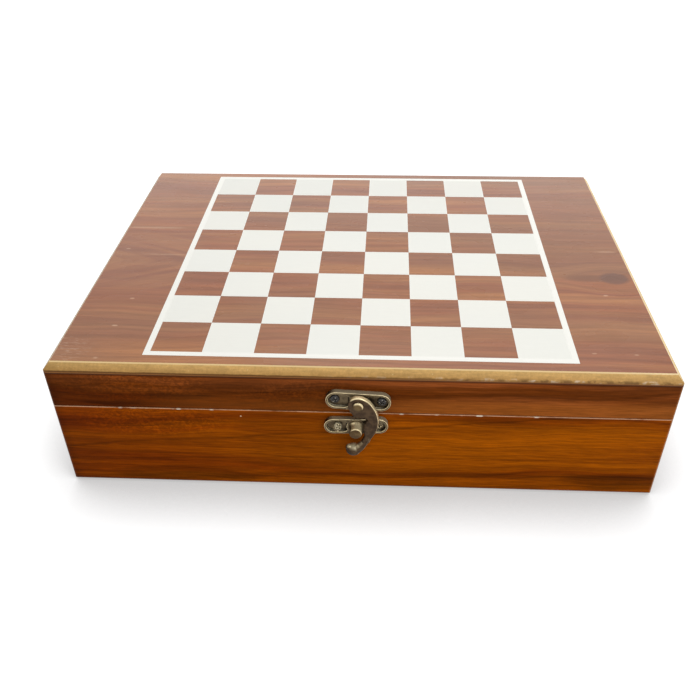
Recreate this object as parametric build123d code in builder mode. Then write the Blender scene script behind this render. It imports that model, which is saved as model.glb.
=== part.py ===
from build123d import *
import os
from math import ceil, cos, radians, sin, tan

# Games compendium box: a shallow wooden case with a hinged lid. The lid's top is a printed
# chess board, a swing hook holds the lid shut, and the case inside is divided into felt-lined
# wells that hold the games. X is the width, Y runs from the clasp to the hinges, Z is up, and
# the origin is the centre of the underside. All sizes are in millimetres.

# ---- Case: mitred rails, bottom and lid panel -----------------------------------------
box_width = 290.0
box_depth = 218.0
wall = 9.0
base_height = 49.5
seam_gap = 0.4
lid_rail_height = 19.1
corner_radius = 2.0
foot_radius = 3.0
arris_radius = 0.4
glue_clearance = 0.1
bottom_thickness = 3.0
rabbet_width = 4.0
panel_thickness = 4.4
veneer_thickness = 0.6
edge_land = 1.0
bevel_width = 3.5
lining_thickness = 1.0
lining_margin = 0.5

# ---- Board printed on the lid -----------------------------------------------------------
squares_across = 8
square_size = 24.25
border_width = 3.0
print_thickness = 0.1
print_gap = 0.04

# ---- Dividers and wells -------------------------------------------------------------------
divider_thickness = 4.0
divider_drop = 4.5
rail_dado = 1.5
divider_dado = 1.2

# ---- Games ----------------------------------------------------------------------------------
men_across = 4
chess_pitch = 19.0
pawn_height = 24.0
pawn_radius = 6.5
rook_height = 27.0
rook_radius = 7.2
knight_height = 29.0
knight_radius = 7.2
bishop_height = 32.0
bishop_radius = 7.2
queen_height = 36.0
queen_radius = 7.8
king_height = 39.0
king_radius = 8.0
card_length = 88.0
card_width = 63.0
deck_height = 17.0
card_corner = 3.0
card_room = 2.0
card_room_deep = 1.5
die_size = 13.0
die_round = 1.6
tile_count = 28
tile_length = 40.0
tile_width = 20.0
tile_thickness = 6.0
tile_round = 0.8
discs_a_side = 12
disc_radius = 10.5
disc_thickness = 5.5
disc_ring_radius = 7.5
disc_ring_depth = 0.6
stack_gap = 0.05
piece_gap = 1.0

# ---- Hinges ----------------------------------------------------------------------------------
hinge_inset = 50.0
hinge_length = 26.0
leaf_thickness = 0.8
leaf_reach = 5.5
barrel_radius = 1.75
hinge_pin_radius = 0.9
running_clearance = 0.05
barrel_clearance = 0.25
knuckle_count = 5
knuckle_gap = 0.15
chamfer_depth = 3.2
stop_angle = 95.0
hinge_screw_spacing = 15.6
hinge_screw_head = 1.35
hinge_screw_shank = 0.7
hinge_screw_length = 7.0

# ---- Clasp -----------------------------------------------------------------------------------
plate_length = 30.0
lid_plate_height = 9.6
catch_plate_height = 8.8
plate_floor = 1.2
plate_rim_height = 2.8
plate_rim_width = 1.1
boss_height = 3.0
boss_radius = 4.3
lid_plate_x = 0.3
lid_plate_rise = 8.5
lid_plate_tilt = -3.0
catch_plate_x = -0.8
catch_plate_drop = 6.1
catch_plate_tilt = 1.5
pocket_inset = 4.2
clasp_screw_spacing = 21.6
clasp_screw_head = 2.3
clasp_screw_shank = 1.1
clasp_screw_length = 7.0
screw_stand = 0.4
crooked_stand = 1.6
crooked_lean = 24.0
hook_clearance = 0.2
hook_thickness = 2.8
eye_radius = 4.6
hook_bulge = 6.6
hook_bulge_drop = 7.8
neck_half_width = 2.6
shank_half_width = 3.0
toe_half_width = 1.8
hook_stud_gap = 0.35
toe_reach = 2.6
toe_drop = 9.9
knob_radius = 3.8
knob_reach = 2.6
knob_drop = 28.2
rivet_radius = 1.6
rivet_head_radius = 2.4
rivet_head_height = 1.2
stud_radius = 3.0
stud_reach = 7.4
stud_tenon_radius = 1.6

# ---- Places worked out from the sizes above -----------------------------------------------
overcut = 5.0
half_width = box_width / 2
half_depth = box_depth / 2
inner_width = box_width - 2 * wall
inner_depth = box_depth - 2 * wall
lid_low = base_height + seam_gap
lid_high = lid_low + lid_rail_height
veneer_low = lid_high + panel_thickness
lid_top = veneer_low + veneer_thickness
floor_z = bottom_thickness + lining_thickness
divider_height = base_height - divider_drop - bottom_thickness
hinge_spacing = box_width - 2 * hinge_inset
pin_y = half_depth - chamfer_depth
pin_z = base_height + seam_gap / 2
up = Vector(0, 0, 1)

left_well_width = men_across * chess_pitch
centre_well_width = card_length + 2 * card_room
right_well_width = inner_width - left_well_width - centre_well_width - 2 * divider_thickness
half_well_depth = (inner_depth - divider_thickness) / 2
card_well_depth = card_width + 2 * card_room_deep
dice_well_depth = inner_depth - 2 * card_well_depth - 2 * divider_thickness
left_divider_x = -inner_width / 2 + left_well_width + divider_thickness / 2
right_divider_x = inner_width / 2 - right_well_width - divider_thickness / 2
card_divider_y = (dice_well_depth + divider_thickness) / 2
left_well_x = -(inner_width - left_well_width) / 2
right_well_x = (inner_width - right_well_width) / 2
centre_well_x = (left_divider_x + right_divider_x) / 2
half_well_y = (half_well_depth + divider_thickness) / 2
card_well_y = (inner_depth - card_well_depth) / 2

lid_plate_z = lid_low + lid_plate_rise
catch_plate_z = base_height - catch_plate_drop
hook_low = boss_height + hook_clearance
hook_high = hook_low + hook_thickness

os.makedirs("parts", exist_ok=True)


def save(piece, name):
    """Label a finished piece and write it as one STEP file."""
    piece.part.label = name
    export_step(piece.part, f"parts/{name}.step")


# ---- Rails ------------------------------------------------------------------------------------
# Each side: the middle of its outer face, the way inwards, and the length of its rail.
sides = {
    "front": (Vector(0, -half_depth, 0), Vector(0, 1, 0), box_width),
    "back": (Vector(0, half_depth, 0), Vector(0, -1, 0), box_width),
    "left": (Vector(-half_width, 0, 0), Vector(1, 0, 0), box_depth),
    "right": (Vector(half_width, 0, 0), Vector(-1, 0, 0), box_depth),
}


def mitred_rail(side, low, high, low_round, high_round, rabbet):
    """A rail of one section, its ends mitred, inside the case's rounded outline."""
    face_centre, inward, length = sides[side]
    along = inward.cross(up)
    with BuildSketch(Plane(origin=face_centre, x_dir=inward, z_dir=along)) as section:
        with Locations((0, low)):
            Rectangle(wall, high - low, align=(Align.MIN, Align.MIN))
        outer_corners = vertices().group_by(Axis.X)[0].sort_by(Axis.Y)
        if low_round > 0:
            fillet(outer_corners[0], low_round)
        if high_round > 0:
            fillet(outer_corners[-1], high_round)
        if rabbet:
            with Locations((wall - rabbet_width, 0)):
                Rectangle(
                    2 * rabbet_width,
                    bottom_thickness,
                    align=(Align.MIN, Align.MIN),
                    mode=Mode.SUBTRACT,
                )
    extrude(section.sketch, amount=length / 2, both=True)
    with BuildSketch(Plane(origin=face_centre + up * low, x_dir=along, z_dir=up)) as mitres:
        with BuildLine():
            Polyline(
                (-length / 2, 0),
                (length / 2, 0),
                (length / 2 - wall, wall),
                (-length / 2 + wall, wall),
                close=True,
            )
        make_face()
    extrude(mitres.sketch, amount=high - low, mode=Mode.INTERSECT)
    with BuildSketch(Plane.XY.offset(low)) as outline:
        RectangleRounded(box_width, box_depth, corner_radius)
    extrude(outline.sketch, amount=high - low, mode=Mode.INTERSECT)


def cut_stop_chamfer(seam_z, direction):
    """Slope the back edge away from the seam, so that the open lid stops against the base."""
    run = chamfer_depth + overcut
    rise = direction * run * tan(radians(stop_angle / 2))
    with BuildSketch(Plane.YZ) as wedge:
        with BuildLine():
            Polyline((pin_y, seam_z), (pin_y + run, seam_z), (pin_y + run, seam_z + rise), close=True)
        make_face()
    extrude(wedge.sketch, amount=half_width + overcut, both=True, mode=Mode.SUBTRACT)


def cut_hinge_seats(seam_z, direction):
    """Recess a rim for the two leaves and their barrels."""
    for hinge_x in (-hinge_spacing / 2, hinge_spacing / 2):
        with Locations((hinge_x, pin_y - leaf_reach - glue_clearance, seam_z)):
            Box(
                hinge_length + 2 * glue_clearance,
                leaf_reach + glue_clearance,
                2 * leaf_thickness,
                align=(Align.CENTER, Align.MIN, Align.CENTER),
                mode=Mode.SUBTRACT,
            )
        with Locations(Location((hinge_x, pin_y, pin_z), (0, 90, 0))):
            Cylinder(
                barrel_radius + barrel_clearance,
                hinge_length + 2 * barrel_clearance,
                mode=Mode.SUBTRACT,
            )


# ---- Screws -----------------------------------------------------------------------------------
def screw_form(head_radius, shank_radius, length, clearance):
    """A countersunk screw with its head face at z = 0 and its point down."""
    head_depth = head_radius - shank_radius
    point_length = 2 * shank_radius
    with BuildPart() as form:
        with BuildSketch(Plane.XZ):
            with BuildLine():
                Polyline(
                    (0, 0),
                    (head_radius + clearance, 0),
                    (shank_radius + clearance, -head_depth),
                    (shank_radius + clearance, point_length - length - clearance),
                    (0, -length - clearance),
                    close=True,
                )
            make_face()
        revolve(axis=Axis.Z)
    return form


def screw(head_radius, shank_radius, length, cross):
    """A countersunk screw with a slot, or a cross recess, in its head."""
    body = screw_form(head_radius, shank_radius, length, 0)
    arms = (0, 90) if cross else (0,)
    with BuildPart() as driven:
        add(body.part)
        for angle in arms:
            with Locations(Location((0, 0, 0), (0, 0, angle))):
                Box(1.5 * head_radius, 0.25 * head_radius, 0.5 * head_radius, mode=Mode.SUBTRACT)
    return driven


hinge_screw = screw(hinge_screw_head, hinge_screw_shank, hinge_screw_length, cross=False)
hinge_screw_hole = screw_form(hinge_screw_head, hinge_screw_shank, hinge_screw_length, running_clearance)
clasp_screw = screw(clasp_screw_head, clasp_screw_shank, clasp_screw_length, cross=True)
clasp_screw_hole = screw_form(clasp_screw_head, clasp_screw_shank, clasp_screw_length, running_clearance)

# A hinge screw sits midway between the barrel and the leaf's free edge.
hinge_screw_y = pin_y - (barrel_radius + leaf_reach) / 2
hinge_screw_xs = [
    hinge_side * hinge_spacing / 2 + screw_side * hinge_screw_spacing / 2
    for hinge_side in (-1, 1)
    for screw_side in (-1, 1)
]
base_hinge_places = [Location((x, hinge_screw_y, base_height)) for x in hinge_screw_xs]
lid_hinge_places = [Location((x, hinge_screw_y, lid_low), (180, 0, 0)) for x in hinge_screw_xs]


def clasp_place(plate_x, plate_z, plate_tilt, side, stand, lean):
    """Where a clasp screw's head face lies at one end of its plate, its point into the rail."""
    reach = side * clasp_screw_spacing / 2
    x = plate_x + reach * cos(radians(plate_tilt))
    z = plate_z + reach * sin(radians(plate_tilt))
    return Location((x, -half_depth - plate_floor - stand, z), (90, lean, 0))


lid_clasp_places = [
    clasp_place(lid_plate_x, lid_plate_z, lid_plate_tilt, -1, screw_stand, 0),
    clasp_place(lid_plate_x, lid_plate_z, lid_plate_tilt, 1, screw_stand, 0),
]
# The catch's left screw went in crooked, and stands proud.
catch_clasp_places = [
    clasp_place(catch_plate_x, catch_plate_z, catch_plate_tilt, -1, crooked_stand, crooked_lean),
    clasp_place(catch_plate_x, catch_plate_z, catch_plate_tilt, 1, screw_stand, 0),
]


# ---- Base rails ---------------------------------------------------------------------------------
def cut_dado(x, y, width, depth):
    """A stopped housing for a divider's edge, from the bottom panel up."""
    with Locations((x, y, bottom_thickness - overcut)):
        Box(
            width + 2 * glue_clearance,
            depth + 2 * glue_clearance,
            divider_height + overcut + glue_clearance,
            align=(Align.CENTER, Align.CENTER, Align.MIN),
            mode=Mode.SUBTRACT,
        )


def cut_holes(hole, places):
    """Cut a screw's hole at each of its places."""
    with Locations(*places):
        add(hole.part, mode=Mode.SUBTRACT)


long_divider_xs = (left_divider_x, right_divider_x)
rail_dado_y = inner_depth / 2
rail_dado_x = inner_width / 2

with BuildPart() as base_front_rail:
    mitred_rail("front", 0, base_height, foot_radius, arris_radius, rabbet=True)
    for x in long_divider_xs:
        cut_dado(x, -rail_dado_y, divider_thickness, 2 * rail_dado)
    cut_holes(clasp_screw_hole, catch_clasp_places)
save(base_front_rail, "base_front_rail")

with BuildPart() as base_back_rail:
    mitred_rail("back", 0, base_height, foot_radius, 0, rabbet=True)
    for x in long_divider_xs:
        cut_dado(x, rail_dado_y, divider_thickness, 2 * rail_dado)
    cut_stop_chamfer(base_height, -1)
    cut_hinge_seats(base_height, -1)
    cut_holes(hinge_screw_hole, base_hinge_places)
save(base_back_rail, "base_back_rail")

with BuildPart() as base_left_rail:
    mitred_rail("left", 0, base_height, foot_radius, arris_radius, rabbet=True)
    cut_dado(-rail_dado_x, 0, 2 * rail_dado, divider_thickness)
    cut_stop_chamfer(base_height, -1)
save(base_left_rail, "base_left_rail")

with BuildPart() as base_right_rail:
    mitred_rail("right", 0, base_height, foot_radius, arris_radius, rabbet=True)
    cut_dado(rail_dado_x, 0, 2 * rail_dado, divider_thickness)
    cut_stop_chamfer(base_height, -1)
save(base_right_rail, "base_right_rail")

with BuildPart() as base_bottom_panel:
    with BuildSketch():
        panel_reach = 2 * (rabbet_width - glue_clearance)
        Rectangle(inner_width + panel_reach, inner_depth + panel_reach)
    extrude(amount=bottom_thickness)
save(base_bottom_panel, "base_bottom_panel")

# ---- Dividers and felt --------------------------------------------------------------------------
with BuildPart() as left_divider:
    with Locations((left_divider_x, 0, bottom_thickness)):
        Box(
            divider_thickness,
            inner_depth + 2 * rail_dado,
            divider_height,
            align=(Align.CENTER, Align.CENTER, Align.MIN),
        )
    cut_dado(left_divider_x - divider_thickness / 2, 0, 2 * divider_dado, divider_thickness)
    for side in (-1, 1):
        cut_dado(
            left_divider_x + divider_thickness / 2,
            side * card_divider_y,
            2 * divider_dado,
            divider_thickness,
        )
save(left_divider, "left_divider")

with BuildPart() as right_divider:
    with Locations((right_divider_x, 0, bottom_thickness)):
        Box(
            divider_thickness,
            inner_depth + 2 * rail_dado,
            divider_height,
            align=(Align.CENTER, Align.CENTER, Align.MIN),
        )
    cut_dado(right_divider_x + divider_thickness / 2, 0, 2 * divider_dado, divider_thickness)
    for side in (-1, 1):
        cut_dado(
            right_divider_x - divider_thickness / 2,
            side * card_divider_y,
            2 * divider_dado,
            divider_thickness,
        )
save(right_divider, "right_divider")


def cross_divider(left_x, right_x, y):
    """A short divider between two housings."""
    with BuildPart() as board:
        with Locations(((left_x + right_x) / 2, y, bottom_thickness)):
            Box(
                right_x - left_x,
                divider_thickness,
                divider_height,
                align=(Align.CENTER, Align.CENTER, Align.MIN),
            )
    return board


housed_left = left_divider_x + divider_thickness / 2 - divider_dado
housed_right = right_divider_x - divider_thickness / 2 + divider_dado
chess_divider = cross_divider(
    -inner_width / 2 - rail_dado, left_divider_x - divider_thickness / 2 + divider_dado, 0
)
save(chess_divider, "chess_divider")
front_card_divider = cross_divider(housed_left, housed_right, -card_divider_y)
save(front_card_divider, "front_card_divider")
back_card_divider = cross_divider(housed_left, housed_right, card_divider_y)
save(back_card_divider, "back_card_divider")
draughts_divider = cross_divider(
    right_divider_x + divider_thickness / 2 - divider_dado, inner_width / 2 + rail_dado, 0
)
save(draughts_divider, "draughts_divider")

# Each well: its centre and its size on plan.
wells = {
    "light_chess": (left_well_x, -half_well_y, left_well_width, half_well_depth),
    "dark_chess": (left_well_x, half_well_y, left_well_width, half_well_depth),
    "front_cards": (centre_well_x, -card_well_y, centre_well_width, card_well_depth),
    "dice": (centre_well_x, 0, centre_well_width, dice_well_depth),
    "back_cards": (centre_well_x, card_well_y, centre_well_width, card_well_depth),
    "dominoes": (right_well_x, -half_well_y, right_well_width, half_well_depth),
    "draughts": (right_well_x, half_well_y, right_well_width, half_well_depth),
}

with BuildPart() as well_felt:
    for well_x, well_y, well_width, well_depth in wells.values():
        with BuildSketch(Plane.XY.offset(bottom_thickness)):
            with Locations((well_x, well_y)):
                Rectangle(well_width - 2 * lining_margin, well_depth - 2 * lining_margin)
        extrude(amount=lining_thickness)
save(well_felt, "well_felt")

# ---- Lid ----------------------------------------------------------------------------------------
with BuildPart() as lid_front_rail:
    mitred_rail("front", lid_low, lid_high, arris_radius, 0, rabbet=False)
    cut_holes(clasp_screw_hole, lid_clasp_places)
save(lid_front_rail, "lid_front_rail")

with BuildPart() as lid_back_rail:
    mitred_rail("back", lid_low, lid_high, 0, 0, rabbet=False)
    cut_stop_chamfer(lid_low, 1)
    cut_hinge_seats(lid_low, 1)
    cut_holes(hinge_screw_hole, lid_hinge_places)
save(lid_back_rail, "lid_back_rail")

with BuildPart() as lid_left_rail:
    mitred_rail("left", lid_low, lid_high, arris_radius, 0, rabbet=False)
    cut_stop_chamfer(lid_low, 1)
save(lid_left_rail, "lid_left_rail")

with BuildPart() as lid_right_rail:
    mitred_rail("right", lid_low, lid_high, arris_radius, 0, rabbet=False)
    cut_stop_chamfer(lid_low, 1)
save(lid_right_rail, "lid_right_rail")

# The panel and its veneer are bevelled together, down to a narrow upright land.
bevel_height = panel_thickness + veneer_thickness - edge_land
bevel_angle = bevel_width / bevel_height
veneer_inset = bevel_width - veneer_thickness * bevel_angle


def bevelled_slab(low, high, low_inset, high_inset):
    """A rectangular slab whose four edges slope inwards as they rise."""
    with BuildSketch(Plane.XY.offset(low)) as foot:
        Rectangle(box_width - 2 * low_inset, box_depth - 2 * low_inset)
    with BuildSketch(Plane.XY.offset(high)) as top:
        Rectangle(box_width - 2 * high_inset, box_depth - 2 * high_inset)
    loft([foot.sketch, top.sketch], ruled=True)


with BuildPart() as lid_panel:
    with BuildSketch(Plane.XY.offset(lid_high)):
        RectangleRounded(box_width, box_depth, corner_radius)
    extrude(amount=edge_land)
    bevelled_slab(lid_high + edge_land, veneer_low, 0, veneer_inset)
    with BuildSketch(Plane.XY.offset(lid_high)):
        RectangleRounded(box_width, box_depth, corner_radius)
    extrude(amount=panel_thickness, mode=Mode.INTERSECT)
save(lid_panel, "lid_panel")

with BuildPart() as lid_veneer:
    bevelled_slab(veneer_low, lid_top, veneer_inset, bevel_width)
save(lid_veneer, "lid_veneer")

with BuildPart() as lid_felt:
    with BuildSketch(Plane.XY.offset(lid_high - lining_thickness)):
        Rectangle(inner_width - 2 * lining_margin, inner_depth - 2 * lining_margin)
    extrude(amount=lining_thickness)
save(lid_felt, "lid_felt")

# The print is the light squares and the line around them; the dark squares are bare veneer.
board_width = squares_across * square_size
first_square = (square_size - board_width) / 2
with BuildPart() as board_print:
    with BuildSketch(Plane.XY.offset(lid_top)):
        Rectangle(board_width + 2 * border_width, board_width + 2 * border_width)
        Rectangle(board_width, board_width, mode=Mode.SUBTRACT)
    extrude(amount=print_thickness)
    for column in range(squares_across):
        for row in range(squares_across):
            if (column + row) % 2 == 1:
                with BuildSketch(Plane.XY.offset(lid_top)):
                    with Locations((first_square + column * square_size, first_square + row * square_size)):
                        Rectangle(square_size - 2 * print_gap, square_size - 2 * print_gap)
                extrude(amount=print_thickness)
save(board_print, "board_print")


# ---- Hinges -------------------------------------------------------------------------------------
knuckle_pitch = hinge_length / knuckle_count


def knuckle_places(hinge_x, own_turn):
    """Centres of every second knuckle along the pin, starting from the first or the second."""
    first = hinge_x - hinge_length / 2 + knuckle_pitch / 2
    return [
        Location((first + index * knuckle_pitch, pin_y, pin_z), (0, 90, 0))
        for index in range(own_turn, knuckle_count, 2)
    ]


def hinge_leaf(hinge_x, leaf_low, own_turn, hole, places):
    """A leaf with its knuckles, relieved for the other leaf's knuckles."""
    with BuildPart() as leaf:
        with Locations((hinge_x, pin_y - leaf_reach, leaf_low)):
            Box(hinge_length, leaf_reach, leaf_thickness, align=(Align.CENTER, Align.MIN, Align.MIN))
        with Locations(*knuckle_places(hinge_x, 1 - own_turn)):
            Cylinder(barrel_radius + barrel_clearance, knuckle_pitch, mode=Mode.SUBTRACT)
        with Locations(*knuckle_places(hinge_x, own_turn)):
            Cylinder(barrel_radius, knuckle_pitch - knuckle_gap)
        with Locations(Location((hinge_x, pin_y, pin_z), (0, 90, 0))):
            Cylinder(hinge_pin_radius + running_clearance, hinge_length + overcut, mode=Mode.SUBTRACT)
        cut_holes(hole, places)
    return leaf


def hinge_pin(hinge_x):
    """A plain pin through all the knuckles, its ends slightly domed."""
    with BuildPart() as pin:
        with Locations(Location((hinge_x, pin_y, pin_z), (0, 90, 0))):
            Cylinder(hinge_pin_radius, hinge_length)
        chamfer(pin.edges().filter_by(GeomType.CIRCLE), hinge_pin_radius / 4)
    return pin


for side_name, hinge_x in (("left", -hinge_spacing / 2), ("right", hinge_spacing / 2)):
    base_leaf = hinge_leaf(hinge_x, base_height - leaf_thickness, 0, hinge_screw_hole, base_hinge_places)
    save(base_leaf, f"{side_name}_hinge_base_leaf")
    lid_leaf = hinge_leaf(hinge_x, lid_low, 1, hinge_screw_hole, lid_hinge_places)
    save(lid_leaf, f"{side_name}_hinge_lid_leaf")
    save(hinge_pin(hinge_x), f"{side_name}_hinge_pin")

with BuildPart() as hinge_base_screws:
    with Locations(*base_hinge_places):
        add(hinge_screw.part)
save(hinge_base_screws, "hinge_base_screws")

with BuildPart() as hinge_lid_screws:
    with Locations(*lid_hinge_places):
        add(hinge_screw.part)
save(hinge_lid_screws, "hinge_lid_screws")


# ---- Clasp --------------------------------------------------------------------------------------
def front_plane(x, z, stand_off, tilt=0):
    """A plane in front of the case, its X to the right and its Y up, turned by the tilt."""
    return Plane(
        origin=(x, -half_depth - stand_off, z),
        x_dir=(cos(radians(tilt)), 0, sin(radians(tilt))),
        z_dir=(0, -1, 0),
    )


def clasp_plate(x, z, height, tilt, tenon_radius, places):
    """A cast plate with a raised rim, a pocket at each end for a screw, and a centre boss."""
    pocket_length = plate_length / 2 - plate_rim_width - pocket_inset
    pocket_x = plate_length / 2 - plate_rim_width - pocket_length / 2
    with BuildPart() as plate:
        with BuildSketch(front_plane(x, z, 0, tilt)):
            SlotOverall(plate_length, height)
        extrude(amount=plate_rim_height)
        with BuildSketch(front_plane(x, z, plate_floor, tilt)):
            with Locations((-pocket_x, 0), (pocket_x, 0)):
                SlotOverall(pocket_length, height - 2 * plate_rim_width)
        extrude(amount=plate_rim_height, mode=Mode.SUBTRACT)
        with BuildSketch(front_plane(x, z, 0)):
            Circle(boss_radius)
        extrude(amount=boss_height)
        with BuildSketch(front_plane(x, z, 0)):
            Circle(tenon_radius + running_clearance)
        extrude(amount=boss_height, mode=Mode.SUBTRACT)
        cut_holes(clasp_screw_hole, places)
    return plate


clasp_lid_plate = clasp_plate(
    lid_plate_x, lid_plate_z, lid_plate_height, lid_plate_tilt, rivet_radius, lid_clasp_places
)
save(clasp_lid_plate, "clasp_lid_plate")
clasp_catch_plate = clasp_plate(
    catch_plate_x, catch_plate_z, catch_plate_height, catch_plate_tilt, stud_tenon_radius, catch_clasp_places
)
save(clasp_catch_plate, "clasp_catch_plate")

with BuildPart() as clasp_rivet:
    with BuildSketch(front_plane(lid_plate_x, lid_plate_z, 0)):
        Circle(rivet_radius)
    extrude(amount=hook_high + hook_clearance)
    with BuildSketch(front_plane(lid_plate_x, lid_plate_z, hook_high + hook_clearance)):
        Circle(rivet_head_radius)
    extrude(amount=rivet_head_height)
    fillet(clasp_rivet.edges().filter_by(GeomType.CIRCLE).sort_by(Axis.Y)[0], rivet_head_height / 2)
save(clasp_rivet, "clasp_rivet")

with BuildPart() as clasp_catch_stud:
    with BuildSketch(front_plane(catch_plate_x, catch_plate_z, 0)):
        Circle(stud_tenon_radius)
    extrude(amount=boss_height)
    with BuildSketch(front_plane(catch_plate_x, catch_plate_z, boss_height)):
        Circle(stud_radius)
    extrude(amount=stud_reach - boss_height)
    chamfer(clasp_catch_stud.edges().filter_by(GeomType.CIRCLE).sort_by(Axis.Y)[0], stud_radius / 6)
save(clasp_catch_stud, "clasp_catch_stud")

# The hook's centre line, seen from the front and from its pivot: out to the right of the eye,
# down past the stud, and in under it to the knob.
stud_side_x = catch_plate_x - lid_plate_x + stud_radius + hook_stud_gap + shank_half_width
stud_side_z = catch_plate_z - lid_plate_z
hook_line = Spline(
    (0, 0),
    (hook_bulge, -hook_bulge_drop),
    (stud_side_x, stud_side_z),
    (stud_side_x - toe_reach, stud_side_z - toe_drop),
    (-knob_reach, -knob_drop),
    tangents=((1, 0.15), (-1, -0.45)),
)
hook_steps = 10
shank_share = 0.45


def hook_half_width(share):
    """Half the hook's width along its line: it widens to its shank and tapers to its toe."""
    if share < shank_share:
        stretch = share / shank_share
        blend = stretch * stretch * (3 - 2 * stretch)
        return neck_half_width + (shank_half_width - neck_half_width) * blend
    stretch = (share - shank_share) / (1 - shank_share)
    blend = stretch * stretch * (3 - 2 * stretch)
    return shank_half_width + (toe_half_width - shank_half_width) * blend


def hook_edge(side):
    """Points along one edge of the hook."""
    points = []
    for step in range(hook_steps + 1):
        share = step / hook_steps
        tangent = hook_line % share
        sideways = Vector(-tangent.Y, tangent.X) * side
        points.append(hook_line @ share + sideways * hook_half_width(share))
    return points


with BuildPart() as clasp_hook:
    with BuildSketch(front_plane(lid_plate_x, lid_plate_z, hook_low)):
        with BuildLine():
            outer_edge = Spline(*hook_edge(1))
            inner_edge = Spline(*hook_edge(-1))
            Line(outer_edge @ 0, inner_edge @ 0)
            Line(outer_edge @ 1, inner_edge @ 1)
        make_face()
        Circle(eye_radius)
        Circle(rivet_radius + running_clearance, mode=Mode.SUBTRACT)
    extrude(amount=hook_thickness)
    knob_y = -half_depth - hook_low - hook_thickness / 2
    with Locations((lid_plate_x - knob_reach, knob_y, lid_plate_z - knob_drop)):
        Sphere(knob_radius, rotation=(0, 90, 0))
save(clasp_hook, "clasp_hook")

with BuildPart() as clasp_lid_screws:
    with Locations(*lid_clasp_places):
        add(clasp_screw.part)
save(clasp_lid_screws, "clasp_lid_screws")

with BuildPart() as clasp_catch_screws:
    with Locations(*catch_clasp_places):
        add(clasp_screw.part)
save(clasp_catch_screws, "clasp_catch_screws")


# ---- Chess men ----------------------------------------------------------------------------------
def turned_foot(radius, neck_radius, neck_height):
    """A moulded foot and a waisted stem up to the neck, turned about Z."""
    rim = 0.3 * radius
    step_radius = 0.72 * radius
    step_low = 0.52 * radius
    step_high = 0.66 * radius
    waist_radius = 0.86 * neck_radius + 0.14 * step_radius
    waist_height = 0.5 * (step_high + neck_height)
    with BuildSketch(Plane.XZ) as profile:
        with BuildLine():
            Polyline((0, neck_height), (0, 0), (0.94 * radius, 0), (radius, 0.1 * radius), (radius, rim))
            ThreePointArc((radius, rim), (0.92 * radius, 0.45 * radius), (step_radius, step_low))
            Line((step_radius, step_low), (step_radius, step_high))
            ThreePointArc((step_radius, step_high), (waist_radius, waist_height), (neck_radius, neck_height))
            Line((neck_radius, neck_height), (0, neck_height))
        make_face()
    revolve(profile.sketch, axis=Axis.Z)


def collar(radius, height):
    """A thin rounded ring around the neck."""
    thickness = 0.28 * radius
    with Locations((0, 0, height)):
        Cylinder(radius, thickness, align=(Align.CENTER, Align.CENTER, Align.MIN))
        with Locations((0, 0, thickness)):
            Cone(radius, 0.6 * radius, 0.6 * thickness, align=(Align.CENTER, Align.CENTER, Align.MIN))


def crown(low_radius, high_radius, low, high):
    """A flared head that widens as it rises."""
    with Locations((0, 0, low)):
        Cone(low_radius, high_radius, high - low, align=(Align.CENTER, Align.CENTER, Align.MIN))


with BuildPart() as pawn:
    pawn_neck = 0.62 * pawn_height
    pawn_head = 0.6 * pawn_radius
    turned_foot(pawn_radius, 0.34 * pawn_radius, pawn_neck)
    collar(0.62 * pawn_radius, pawn_neck)
    with Locations((0, 0, pawn_height - pawn_head)):
        Sphere(pawn_head)

with BuildPart() as rook:
    rook_neck = 0.58 * rook_height
    rook_tower = 0.62 * rook_radius
    turned_foot(rook_radius, 0.46 * rook_radius, rook_neck)
    collar(rook_tower, rook_neck)
    with Locations((0, 0, 0.62 * rook_height)):
        Cylinder(rook_tower, 0.38 * rook_height, align=(Align.CENTER, Align.CENTER, Align.MIN))
    with Locations((0, 0, rook_height)):
        Cylinder(0.68 * rook_tower, 0.3 * rook_height, mode=Mode.SUBTRACT)
    with Locations((0, 0, rook_height)):
        Box(3 * rook_tower, 0.4 * rook_tower, 0.2 * rook_height, mode=Mode.SUBTRACT)
        Box(0.4 * rook_tower, 3 * rook_tower, 0.2 * rook_height, mode=Mode.SUBTRACT)

with BuildPart() as bishop:
    bishop_neck = 0.6 * bishop_height
    bishop_head = 0.24 * bishop_height
    bishop_ball = 0.17 * bishop_radius
    turned_foot(bishop_radius, 0.34 * bishop_radius, bishop_neck)
    collar(0.6 * bishop_radius, bishop_neck)
    with BuildSketch(Plane.XZ):
        head_low = bishop_neck + 0.06 * bishop_height
        head_high = bishop_height - bishop_ball
        with BuildLine():
            Line((0, head_high), (0, head_low))
            Line((0, head_low), (0.3 * bishop_radius, head_low))
            Spline(
                (0.3 * bishop_radius, head_low),
                (0.54 * bishop_radius, head_low + 0.42 * bishop_head),
                (0, head_high),
                tangents=((1, 0.6), (-1, 1.1)),
            )
        make_face()
    revolve(axis=Axis.Z)
    with Locations((0, 0, bishop_height - bishop_ball)):
        Sphere(bishop_ball)
    with Locations(Location((0.34 * bishop_radius, 0, 0.81 * bishop_height), (0, 50, 0))):
        Box(0.9 * bishop_radius, 2 * bishop_radius, 0.1 * bishop_radius, mode=Mode.SUBTRACT)

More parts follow.
